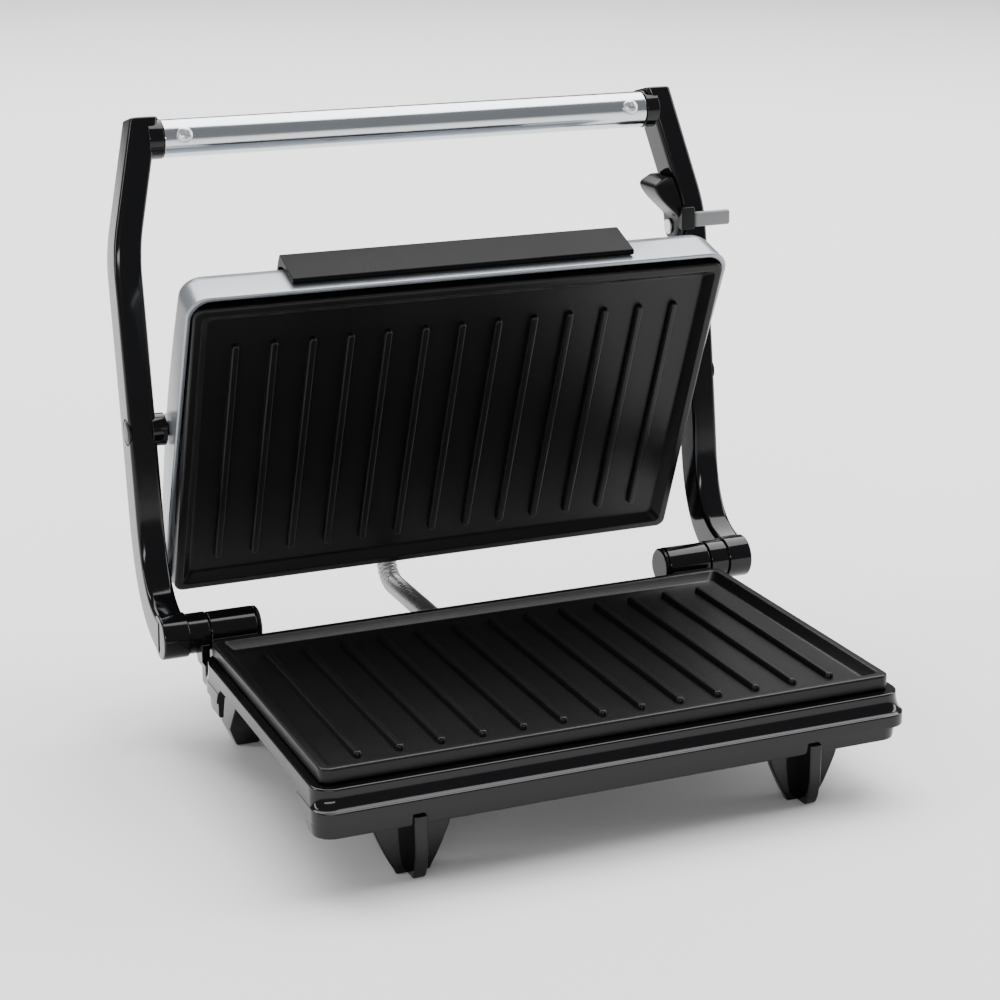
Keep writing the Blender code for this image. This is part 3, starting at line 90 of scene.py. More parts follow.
class Datum:
    """Turns the press's own millimetres into the frame's metres."""

    def __init__(self) -> None:
        """Read the origin, the two hinge axes and the lid's opening from the frame."""
        low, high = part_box("lower_grill_plate")
        self.origin = Vector(((low.x + high.x) / 2, low.y, 0.0))
        joints = {joint["name"]: joint for joint in frame["joints"]}
        self.hinge = self.to_press(joints["handle_hinge"]["pos_m"])
        self.pivot = self.to_press(joints["lid_tilt"]["pos_m"])
        self.latch = self.to_press(joints["latch_pivot"]["pos_m"])
        ratio = frame["record"]["behaviour"]["couplings"][0]["ratio"]
        self.lid_opening = math.radians(joints["handle_hinge"]["range_deg"][1] * (1 + ratio))

    def to_press(self, place: Sequence[float]) -> Vector:
        """Return a frame place in the press's millimetres, with x on the middle plane.

        Args:
            place: a point in the frame, in metres.
        """
        local = (Vector(place) - self.origin) / MM
        return Vector((0.0, local.y, local.z))

    def to_frame(self) -> Matrix:
        """Return the matrix from the press's millimetres to the frame's metres."""
        return Matrix.Translation(self.origin) @ Matrix.Scale(MM, 4)

    def lid_to_frame(self) -> Matrix:
        """Return the matrix from the lid's own millimetres, lying shut about its pivot."""
        turn = Matrix.Rotation(-self.lid_opening, 4, "X")
        return self.to_frame() @ Matrix.Translation(self.pivot) @ turn


DATUM = Datum()


# ------------------------------------------------------------------ shader arithmetic


class Value:
    """A number in a shader that takes part in ordinary arithmetic."""

    def __init__(self, tree: bpy.types.NodeTree, socket: bpy.types.NodeSocket) -> None:
        """Wrap an output socket of a node tree."""
        self.tree = tree
        self.socket = socket

    def _math(self, operation: str, first: "Value | float", second: "Value | float") -> "Value":
        """Add one Math node.

        Args:
            operation: the node's operation.
            first: its first value.
            second: its second value.

        Returns:
            The result as a new value.
        """
        node = self.tree.nodes.new("ShaderNodeMath")
        node.operation = operation
        for slot, item in zip(node.inputs, (first, second)):
            if isinstance(item, Value):
                self.tree.links.new(item.socket, slot)
            else:
                slot.default_value = item
        return Value(self.tree, node.outputs[0])

    def __add__(self, other: "Value | float") -> "Value":
        """Return self + other."""
        return self._math("ADD", self, other)

    def __radd__(self, other: float) -> "Value":
        """Return other + self."""
        return self._math("ADD", other, self)

    def __sub__(self, other: "Value | float") -> "Value":
        """Return self - other."""
        return self._math("SUBTRACT", self, other)

    def __rsub__(self, other: float) -> "Value":
        """Return other - self."""
        return self._math("SUBTRACT", other, self)

    def __mul__(self, other: "Value | float") -> "Value":
        """Return self * other."""
        return self._math("MULTIPLY", self, other)

    def __rmul__(self, other: float) -> "Value":
        """Return other * self."""
        return self._math("MULTIPLY", other, self)

    def __truediv__(self, other: "Value | float") -> "Value":
        """Return self / other."""
        return self._math("DIVIDE", self, other)

    def __pow__(self, other: "Value | float") -> "Value":
        """Return self raised to other."""
        return self._math("POWER", self, other)

    def above(self, edge: float) -> "Value":
        """Return 1 where the value is over edge, else 0."""
        return self._math("GREATER_THAN", self, edge)

    def over(self, floor: float) -> "Value":
        """Return the larger of the value and floor."""
        return self._math("MAXIMUM", self, floor)


class Shader:
    """One Principled material under construction."""

    def __init__(self, name: str) -> None:
        """Start a material.

        Args:
            name: the material's name.
        """
        self.material = bpy.data.materials.new(name)
        self.material.use_nodes = True
        self.tree = self.material.node_tree
        self.surface = self.tree.nodes["Principled BSDF"]
        coords = self.tree.nodes.new("ShaderNodeTexCoord")
        self.place = coords.outputs["Object"]

    def node(self, kind: str, settings: dict | None = None, inputs: dict | None = None) -> bpy.types.Node:
        """Add any node.

        Args:
            kind: the node's type.
            settings: its settings, set first.
            inputs: values or links of its sockets, by name or number.

        Returns:
            The new node.
        """
        made = self.tree.nodes.new(kind)
        for key, value in (settings or {}).items():
            setattr(made, key, value)
        for key, value in (inputs or {}).items():
            self.feed(made.inputs[key], value)
        return made

    def feed(self, socket: bpy.types.NodeSocket, value: object) -> None:
        """Link or set one socket.

        Args:
            socket: the input to fill.
            value: a Value, an output socket, a colour or a number.
        """
        if isinstance(value, Value):
            self.tree.links.new(value.socket, socket)
        elif isinstance(value, bpy.types.NodeSocket):
            self.tree.links.new(value, socket)
        else:
            socket.default_value = value

    def stretched(self, scale: tuple[float, float, float]) -> bpy.types.NodeSocket:
        """Return object coordinates scaled along each axis."""
        return self.node("ShaderNodeMapping", None, {"Vector": self.place, "Scale": scale}).outputs[0]

    def noise(self, scale: float, detail: float = 2.0, place: bpy.types.NodeSocket | None = None) -> Value:
        """Return a noise value.

        Args:
            scale: blobs per metre.
            detail: octaves of finer noise.
            place: coordinates to read, object coordinates if left out.
        """
        made = self.node("ShaderNodeTexNoise", None,
                         {"Vector": place or self.place, "Scale": scale, "Detail": detail})
        return Value(self.tree, made.outputs["Fac"])

    def cells(self, scale: float) -> tuple[Value, bpy.types.NodeSocket]:
        """Return the distance and the random colour of a Voronoi pattern."""
        made = self.node("ShaderNodeTexVoronoi", None, {"Vector": self.place, "Scale": scale})
        return Value(self.tree, made.outputs["Distance"]), made.outputs["Color"]

    def blend(self, factor: Value, low: Sequence[float], high: Sequence[float]) -> bpy.types.NodeSocket:
        """Return a colour between low and high."""
        made = self.node("ShaderNodeMix", {"data_type": "RGBA"},
                         {0: factor, 6: (*low, 1.0), 7: (*high, 1.0)})
        return made.outputs[2]

    def relief(self, height: Value, strength: float, depth_mm: float) -> None:
        """Drive the surface normal from a height.

        Args:
            height: the height, about 0 to 1.
            strength: how much of it is kept.
            depth_mm: what a height of 1 stands for.
        """
        made = self.node("ShaderNodeBump", None,
                         {"Strength": strength, "Distance": depth_mm * MM, "Height": height})
        self.set(Normal=made.outputs["Normal"])

    def set(self, **values: object) -> None:
        """Set sockets of the Principled shader; underscores stand for spaces."""
        for key, value in values.items():
            self.feed(self.surface.inputs[key.replace("_", " ")], value)


Colour = tuple[float, float, float]


@dataclass(frozen=True)
class Plastic:
    """Moulded plastic with a faint flow ripple and handling marks."""

    name: str
    colour: Colour
    roughness: float
    grain: float = 0.0
    grain_scale: float = 2600.0
    ripple: float = 0.05
    shine: float = 0.4

    def build(self) -> bpy.types.Material:
        """Return the material."""
        shader = Shader(self.name)
        smudge = shader.noise(38.0, 4.0)
        fine = shader.noise(self.grain_scale, 2.0)
        shade = shader.noise(60.0, 3.0)
        lighter = tuple(min(1.0, c * 1.25 + 0.0015) for c in self.colour)
        shader.set(Base_Color=shader.blend(shade, self.colour, lighter))
        shader.set(Roughness=(smudge - 0.5) * (0.35 * self.roughness) + fine * (0.1 * self.roughness) + self.roughness)
        shader.set(Specular_IOR_Level=self.shine)
        flow = shader.noise(140.0, 1.0)
        shader.relief(fine * self.grain + flow * self.ripple, 1.0, 0.12)
        return shader.material


@dataclass(frozen=True)
class NonStick:
    """Sprayed and baked non-stick coating over a cast surface."""

    name: str
    colour: Colour
    roughness: float

    def build(self) -> bpy.types.Material:
        """Return the material."""
        shader = Shader(self.name)
        peel = shader.noise(1150.0, 3.0)
        cast = shader.noise(300.0, 2.0)
        spray, _ = shader.cells(2300.0)
        fleck = (0.16 - spray).over(0.0) * 5.0
        patch = shader.noise(24.0, 3.0)
        lighter = tuple(c * 3 + 0.006 for c in self.colour)
        shader.set(Base_Color=shader.blend(fleck * 0.5 + patch * 0.12, self.colour, lighter))
        shader.set(Roughness=peel * 0.16 + patch * 0.08 + (self.roughness - 0.12))
        shader.set(Specular_IOR_Level=0.24)
        shader.relief(peel * 0.7 + cast * 0.5, 0.5, 0.09)
        return shader.material


@dataclass(frozen=True)
class FlakeLacquer:
    """Silver lacquer with fine metal flake under a clear coat."""

    name: str
    colour: Colour
    roughness: float
    metallic: float = 0.7

    def build(self) -> bpy.types.Material:
        """Return the material."""
        shader = Shader(self.name)
        _, flake = shader.cells(5200.0)
        split = shader.node("ShaderNodeSeparateColor", None, {"Color": flake})
        sparkle = Value(shader.tree, split.outputs[0])
        mottle = shader.noise(70.0, 3.0)
        darker = tuple(c * 0.82 for c in self.colour)
        lighter = tuple(min(1.0, c * 1.2) for c in self.colour)
        shader.set(Base_Color=shader.blend(sparkle * 0.75 + mottle * 0.25, darker, lighter))
        shader.set(Roughness=sparkle * 0.1 + mottle * 0.08 + (self.roughness - 0.09))
        shader.set(Metallic=self.metallic, Coat_Weight=0.25, Coat_Roughness=0.15)
        shader.relief(sparkle * 0.5 + shader.noise(900.0, 2.0) * 0.5, 0.25, 0.03)
        return shader.material


@dataclass(frozen=True)
class Steel:
    """Bare steel with drawn or tumbled marks."""

    name: str
    colour: Colour
    roughness: float
    drawn: tuple[float, float, float] = (1.0, 1.0, 1.0)
    marks: float = 0.1
    tarnish: float = 0.2

    def build(self) -> bpy.types.Material:
        """Return the material."""
        shader = Shader(self.name)
        lines = shader.noise(1.0, 3.0, shader.stretched(self.drawn))
        cloud = shader.noise(55.0, 4.0)
        dull = tuple(c * (1 - self.tarnish) for c in self.colour)
        shader.set(Base_Color=shader.blend(cloud * 0.6 + lines * 0.4, dull, self.colour))
        shader.set(Metallic=1.0)
        shader.set(Roughness=lines * self.marks + cloud * (0.5 * self.marks) + self.roughness)
        shader.relief(lines, 0.3, 0.02)
        return shader.material


@dataclass(frozen=True)
class Lens:
    """Clear coloured moulding over a pilot lamp."""

    name: str
    colour: Colour

    def build(self) -> bpy.types.Material:
        """Return the material."""
        shader = Shader(self.name)
        ring = shader.noise(240.0, 2.0)
        deep = tuple(c * 0.6 for c in self.colour)
        shader.set(Base_Color=shader.blend(ring, deep, self.colour))
        shader.set(Roughness=ring * 0.06 + 0.08, Transmission_Weight=0.25, IOR=1.49)
        return shader.material


class Finish(Enum):
    """Every finish on the press."""

    GLOSS_BLACK = Plastic("gloss_black_moulding", (0.002, 0.002, 0.0026), 0.09, 0.012, 1900.0, 0.16, 0.30)
    SATIN_BLACK = Plastic("satin_black_moulding", (0.002, 0.002, 0.0024), 0.28, 0.15, 2400.0, 0.05, 0.18)
    STRIP_BLACK = Plastic("strip_black_moulding", (0.002, 0.002, 0.0024), 0.28, 0.15, 2400.0, 0.05, 0.04)
    GREY_TAB = Plastic("grey_tab_moulding", (0.17, 0.175, 0.18), 0.36, 0.25, 2400.0, 0.05)
    RUBBER = Plastic("black_rubber_moulding", (0.016, 0.016, 0.016), 0.75, 0.6, 1500.0, 0.1)
    CERAMIC = Plastic("fired_ceramic", (0.72, 0.69, 0.62), 0.6, 0.5, 1200.0, 0.1)
    NONSTICK = NonStick("black_nonstick_coating", (0.0025, 0.0025, 0.0027), 0.33)
    SILVER = FlakeLacquer("silver_flake_lacquer", (0.27, 0.29, 0.315), 0.34)
    POLISHED = Steel("polished_tube_steel", (0.60, 0.63, 0.67), 0.09, (30.0, 2600.0, 2600.0), 0.08, 0.08)
    ZINC = Steel("bright_zinc_steel", (0.74, 0.75, 0.76), 0.22, (900.0, 900.0, 900.0), 0.16, 0.25)
    CONDUIT = Steel("wound_conduit_steel", (0.36, 0.36, 0.35), 0.24, (700.0, 700.0, 700.0), 0.2, 0.35)
    SHEATH = Steel("heater_sheath_steel", (0.22, 0.21, 0.20), 0.42, (600.0, 600.0, 600.0), 0.2, 0.4)
    SHEET = Steel("aluminised_sheet", (0.70, 0.70, 0.70), 0.34, (80.0, 1500.0, 1500.0), 0.15, 0.15)
    RED_LENS = Lens("red_pilot_lens", (0.42, 0.012, 0.01))
    GREEN_LENS = Lens("green_pilot_lens", (0.02, 0.30, 0.05))

    def material(self) -> bpy.types.Material:
        """Return this finish's material, building it once."""
        return bpy.data.materials.get(self.value.name) or self.value.build()


# ------------------------------------------------------------------ solid modelling


def rounded_outline(half: float, front: float, back: float, front_corner: float,
                    back_corner: float, arc: int = 10, straight: int = 1) -> list[tuple[float, float]]:
    """Return a rounded rectangle in plan.

    Args:
        half: half its width.
        front: its lowest y.
        back: its highest y.
        front_corner: radius of the two front corners.
        back_corner: radius of the two back corners.
        arc: segments in a corner.
        straight: segments in each straight side.

    Returns:
        Points counter-clockwise from the right end of the front side.
    """
    corners = ((half - front_corner, front + front_corner, front_corner, -90),
               (half - back_corner, back - back_corner, back_corner, 0),
               (-half + back_corner, back - back_corner, back_corner, 90),
               (-half + front_corner, front + front_corner, front_corner, 180))
    points: list[tuple[float, float]] = []
    for x, y, r, start in corners:
        turn = [math.radians(start + 90 * k / arc) for k in range(arc + 1)]
        points += [(x + r * math.cos(a), y + r * math.sin(a)) for a in turn]
    if straight == 1:
        return points
    full: list[tuple[float, float]] = []
    for i, p in enumerate(points):
        full.append(p)
        q = points[(i + 1) % len(points)]
        if (i + 1) % (arc + 1) == 0:
            full += [(p[0] + (q[0] - p[0]) * k / straight, p[1] + (q[1] - p[1]) * k / straight)
                     for k in range(1, straight)]
    return full


def curve_through(points: Sequence[Vector], steps: int) -> list[Vector]:
    """Return a smooth line through points.

    Args:
        points: the points to pass.
        steps: how many pieces each span is cut into.
    """
    ends = [points[0] * 2 - points[1], *points, points[-1] * 2 - points[-2]]
    line: list[Vector] = []
    for a, b, c, d in zip(ends, ends[1:], ends[2:], ends[3:]):
        for k in range(steps):
            t = k / steps
            line.append(0.5 * (2 * b + (c - a) * t + (2 * a - 5 * b + 4 * c - d) * t * t
                               + (3 * b - a - 3 * c + d) * t ** 3))
    line.append(points[-1].copy())
    return line


class Solid:
    """A closed body in millimetres, shaped with bmesh operators."""

    def __init__(self) -> None:
        """Start an empty body."""
        self.bm = bmesh.new()

    @classmethod
    def skin(cls, rings: Sequence[Ring], closed: bool = False) -> "Solid":
        """Draw one ring of edges out through the others.

        Args:
            rings: equal rows of points.
            closed: whether the last ring is joined back to the first.

        Returns:
            The body, capped at both ends unless closed.
        """
        solid = cls()
        bm = solid.bm
        verts = [bm.verts.new(p) for p in rings[0]]
        count = len(verts)
        edges = [bm.edges.new((verts[i], verts[(i + 1) % count])) for i in range(count)]
        first_verts, first_edges = verts, edges
        for ring in rings[1:]:
            made = bmesh.ops.extrude_edge_only(bm, edges=edges)["geom"]
            fresh = {g for g in made if isinstance(g, bmesh.types.BMVert)}
            moved = [next(e.other_vert(v) for e in v.link_edges if e.other_vert(v) in fresh) for v in verts]
            for vert, place in zip(moved, ring):
                vert.co = place
            verts = moved
            edges = [bm.edges.get((verts[i], verts[(i + 1) % count])) for i in range(count)]
        if closed:
            bmesh.ops.bridge_loops(bm, edges=first_edges + edges)
        else:
            for row in (first_verts, verts):
                bmesh.ops.contextual_create(bm, geom=row)
        return solid

    @classmethod
    def turned(cls, profile: Sequence[tuple[float, float]], origin: Vector, axis: Vector, steps: int = 64) -> "Solid":
        """Turn a (radius, height) outline round an axis.

        Args:
            profile: the outline; it may start and end on the axis, or close on itself.
            origin: where height 0 lies.
            axis: which way height grows.
            steps: facets in a full turn.
        """
        solid = cls()
        bm = solid.bm
        verts = [bm.verts.new((r, 0.0, z)) for r, z in profile]
        edges = [bm.edges.new(pair) for pair in zip(verts, verts[1:])]
        if profile[0][0] > 0 and profile[-1][0] > 0:
            edges.append(bm.edges.new((verts[-1], verts[0])))
        bmesh.ops.spin(bm, geom=verts + edges, cent=(0, 0, 0), axis=(0, 0, 1),
                       angle=math.tau, steps=steps, use_merge=True)
        bmesh.ops.remove_doubles(bm, verts=bm.verts[:], dist=1e-4)
        turn = Vector(axis).to_track_quat("Z", "Y").to_matrix().to_4x4()
        turn.translation = Vector(origin)
        bm.transform(turn)
        return solid

    @classmethod
    def rod(cls, start: Vector, end: Vector, radius: float, rim: float = 0.0, steps: int = 64) -> "Solid":
        """Make a straight round bar with its two rims softened.

        Args:
            start: the middle of one end.
            end: the middle of the other end.
            radius: the bar's radius.
            rim: how far each rim is rounded.
            steps: facets in a full turn.
        """
        start, end = Vector(start), Vector(end)
        length = (end - start).length
        if rim <= 0:
            profile = [(0.0, 0.0), (radius, 0.0), (radius, length), (0.0, length)]
        else:
            arc = [math.radians(30 * k) for k in range(4)]
            foot = [(radius - rim + rim * math.sin(a), rim - rim * math.cos(a)) for a in arc]
            head = [(r, length - z) for r, z in reversed(foot)]
            profile = [(0.0, 0.0), *foot, *head, (0.0, length)]
        return cls.turned(profile, start, end - start, steps)

    @classmethod
    def block(cls, low: Sequence[float], high: Sequence[float], rim: float = 0.0, segments: int = 3) -> "Solid":
        """Make a box between two corners with its edges rounded."""
        solid = cls()
        bmesh.ops.create_cube(solid.bm, size=1.0)
        low, high = Vector(low), Vector(high)
        middle, size = (low + high) / 2, high - low
        bmesh.ops.scale(solid.bm, vec=size, verts=solid.bm.verts[:])
        bmesh.ops.translate(solid.bm, vec=middle, verts=solid.bm.verts[:])
        if rim:
            solid.soften(rim, segments, 30.0)
        return solid

    @classmethod
    def slab(cls, outline: Sequence[tuple[float, float]], x_low: float, x_high: float, rim: float = 0.0,
             segments: int = 3) -> "Solid":
        """Draw a YZ outline out along X.

        Args:
            outline: (y, z) points in order.
            x_low: where it starts.
            x_high: where it ends.
            rim: how far its edges are rounded.
            segments: facets across each rounded edge.
        """
        solid = cls()
        bm = solid.bm
        face = bm.faces.new([bm.verts.new((x_low, y, z)) for y, z in outline])
        made = bmesh.ops.extrude_face_region(bm, geom=[face])["geom"]
        moved = [g for g in made if isinstance(g, bmesh.types.BMVert)]
        bmesh.ops.translate(bm, verts=moved, vec=(x_high - x_low, 0, 0))
        solid._outward()
        if rim:
            solid.soften(rim, segments, 20.0)
        return solid

    @classmethod
    def sweep(cls, line: Sequence[Vector], radius: Callable[[float, float], float], facets: int) -> "Solid":
        """Sweep a round section along a line that lies in a plane of constant x.

        Args:
            line: the middle of the bar.
            radius: the radius at a distance along the line and an angle round it.
            facets: points round the section.
        """
        rings: list[Ring] = []
        run = 0.0
        for i, p in enumerate(line):
            if i:
                run += (p - line[i - 1]).length
            ahead = (line[min(i + 1, len(line) - 1)] - line[max(i - 1, 0)]).normalized()
            side = Vector((1.0, 0.0, 0.0))
            up = side.cross(ahead).normalized()
            turns = [math.tau * k / facets for k in range(facets)]
            rings.append([p + radius(run, a) * (math.cos(a) * side + math.sin(a) * up) for a in turns])
        return cls.skin(rings)

    def _outward(self) -> None:
        """Make every face point out."""
        bmesh.ops.remove_doubles(self.bm, verts=self.bm.verts[:], dist=1e-4)
        bmesh.ops.recalc_face_normals(self.bm, faces=self.bm.faces[:])
        if self.bm.calc_volume(signed=True) < 0:
            bmesh.ops.reverse_faces(self.bm, faces=self.bm.faces[:])

    def soften(self, offset: float, segments: int, angle: float) -> "Solid":
        """Round every edge that is sharper than an angle in degrees."""
        limit = math.radians(angle)
        sharp = [e for e in self.bm.edges if len(e.link_faces) == 2 and e.calc_face_angle(0.0) > limit]
        bmesh.ops.bevel(self.bm, geom=sharp, offset=offset, segments=segments, profile=0.5,
                        affect="EDGES", clamp_overlap=True, material=-1)
        return self

    def move(self, matrix: Matrix) -> "Solid":
        """Transform the body."""
        self.bm.transform(matrix)
        return self

    def _object(self, name: str) -> bpy.types.Object:
        """Return a linked object that holds the body."""
        self._outward()
        mesh = bpy.data.meshes.new(name)
        self.bm.to_mesh(mesh)
        made = bpy.data.objects.new(name, mesh)
        bpy.context.scene.collection.objects.link(made)
        return made

    def _combine(self, others: Iterable["Solid"], operation: str) -> "Solid":
        """Run exact Booleans against other bodies and keep the result."""
        target = self._object("work")
        tools = [other._object("tool") for other in others]
        for tool in tools:
            step = target.modifiers.new("step", "BOOLEAN")
            step.operation = operation
            step.solver = "EXACT"
            step.object = tool
        graph = bpy.context.evaluated_depsgraph_get()
        result = bpy.data.meshes.new_from_object(target.evaluated_get(graph))
        self.bm.clear()
        self.bm.from_mesh(result)
        for made in (target, *tools):
            mesh = made.data
            bpy.data.objects.remove(made)
            bpy.data.meshes.remove(mesh)
        bpy.data.meshes.remove(result)
        return self

    def join(self, *others: "Solid") -> "Solid":
        """Add other bodies."""
        return self._combine(others, "UNION")

    def cut(self, *others: "Solid") -> "Solid":
        """Take other bodies away."""
        return self._combine(others, "DIFFERENCE")

    def with_loose(self, other: "Solid") -> "Solid":
        """Take another body's faces in without a Boolean, for bodies that stand apart."""
        spare = bpy.data.meshes.new("spare")
        other.bm.to_mesh(spare)
        self.bm.from_mesh(spare)
        bpy.data.meshes.remove(spare)
        return self

    def piece(self, name: str, body: str, finish: Finish, slot: str, replaces: Sequence[str] = (),
              lid: bool = False, sharp: float = 34.0) -> bpy.types.Object:
        """Turn the body into a finished piece of the press.

        Args:
            name: the piece's name.
            body: the frame body it rides on.
            finish: its finish.
            slot: the record's material slot; not used.
            replaces: frame nodes it stands for.
            lid: whether it is modelled in the lid's own millimetres.
            sharp: edges over this angle, in degrees, stay crisp.

        Returns:
            The object, at the origin with its place in its mesh.
        """
        self.bm.transform(DATUM.lid_to_frame() if lid else DATUM.to_frame())
        bmesh.ops.remove_doubles(self.bm, verts=self.bm.verts[:], dist=1e-6)
        bmesh.ops.recalc_face_normals(self.bm, faces=self.bm.faces[:])
        if self.bm.calc_volume(signed=True) < 0:
            bmesh.ops.reverse_faces(self.bm, faces=self.bm.faces[:])
        mesh = bpy.data.meshes.new(name)
        self.bm.to_mesh(mesh)
        self.bm.free()
        mesh.shade_smooth()
        mesh.set_sharp_from_angle(angle=math.radians(sharp))
        mesh.materials.append(finish.material())
        made = bpy.data.objects.new(name, mesh)
        bpy.context.scene.collection.objects.link(made)
        even = made.modifiers.new("even_shading", "WEIGHTED_NORMAL")
        even.keep_sharp = True
        if body:
            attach(made, body)
        if replaces:
            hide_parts(*replaces)
        log.info("%s rides on %s with %d faces", name, body or "two bodies", len(mesh.polygons))
        return made


# ------------------------------------------------------------------ sizes shared by sub-assemblies

LEFT_RIGHT = (Side.LEFT, Side.RIGHT)
PLATE_TOP = 47.0
PLATE_WIDTH = 230.0
PLATE_DEPTH = 142.0
TRAY_TOP = 41.0
TRAY_HALF = 118.5
TRAY_BACK = 146.0
REAR_FACE = 146.8
LID_HALF = 117.4
LID_MARGIN = 4.6
ARM_OUTER = 133.3
ARM_THICK = 11.5
ARM_INNER = ARM_OUTER - ARM_THICK
PIVOT_DEPTH = 20.9
CONDUIT_X = -10.0
CONDUIT_RADIUS = 4.6
CONDUIT_Z = 33.6
CONDUIT_LID_DEPTH = 25.0


def along_x(side: Side, x_low: float, x_high: float, middle: Vector, radius: float, rim: float = 0.0,
            steps: int = 64) -> Solid:
    """Return a bar along X on one side of the press.

    Args:
        side: which end of the press.
        x_low: its inner end, from the middle plane.
        x_high: its outer end, from the middle plane.
        middle: a point whose y and z lie on its axis.
        radius: its radius.
        rim: how far its two rims are rounded.
        steps: facets in a full turn.
    """
    start = Vector((side.value * x_low, middle.y, middle.z))
    end = Vector((side.value * x_high, middle.y, middle.z))
    return Solid.rod(start, end, radius, rim, steps)


def side_slab(side: Side, outline: Sequence[tuple[float, float]], x_low: float, x_high: float,
              rim: float = 0.0) -> Solid:
    """Return a YZ outline drawn out along X on one side of the press."""
    low, high = sorted((side.value * x_low, side.value * x_high))
    return Solid.slab(outline, low, high, rim)


def pan_screw(seat: Vector, out: Vector, head: float, length: float) -> Solid:
    """Return a pan-head screw with a cross recess.

    Args:
        seat: the middle of the bearing face.
        out: which way the head points.
        head: the head's radius.
        length: the shank's length.
    """
    height = 0.62 * head
    dome = [(head * math.cos(math.radians(a)), height * (0.3 + 0.7 * math.sin(math.radians(a))))
            for a in range(80, -1, -10)]
    screw = Solid.turned([(0.0, height), *dome, (head, 0.0), (1.6, 0.0), (1.6, -length), (0.0, -length)],
                         seat, out, 48)
    turn = out.to_track_quat("Z", "Y").to_matrix().to_4x4()
    turn.translation = seat
    arm, web = 0.6 * head, 0.14 * head
    bars = [Solid.block((-arm, -web, 0.45 * height), (arm, web, 2 * height)),
            Solid.block((-web, -arm, 0.45 * height), (web, arm, 2 * height))]
    return screw.cut(*(bar.move(turn) for bar in bars))


# ------------------------------------------------------------------ base


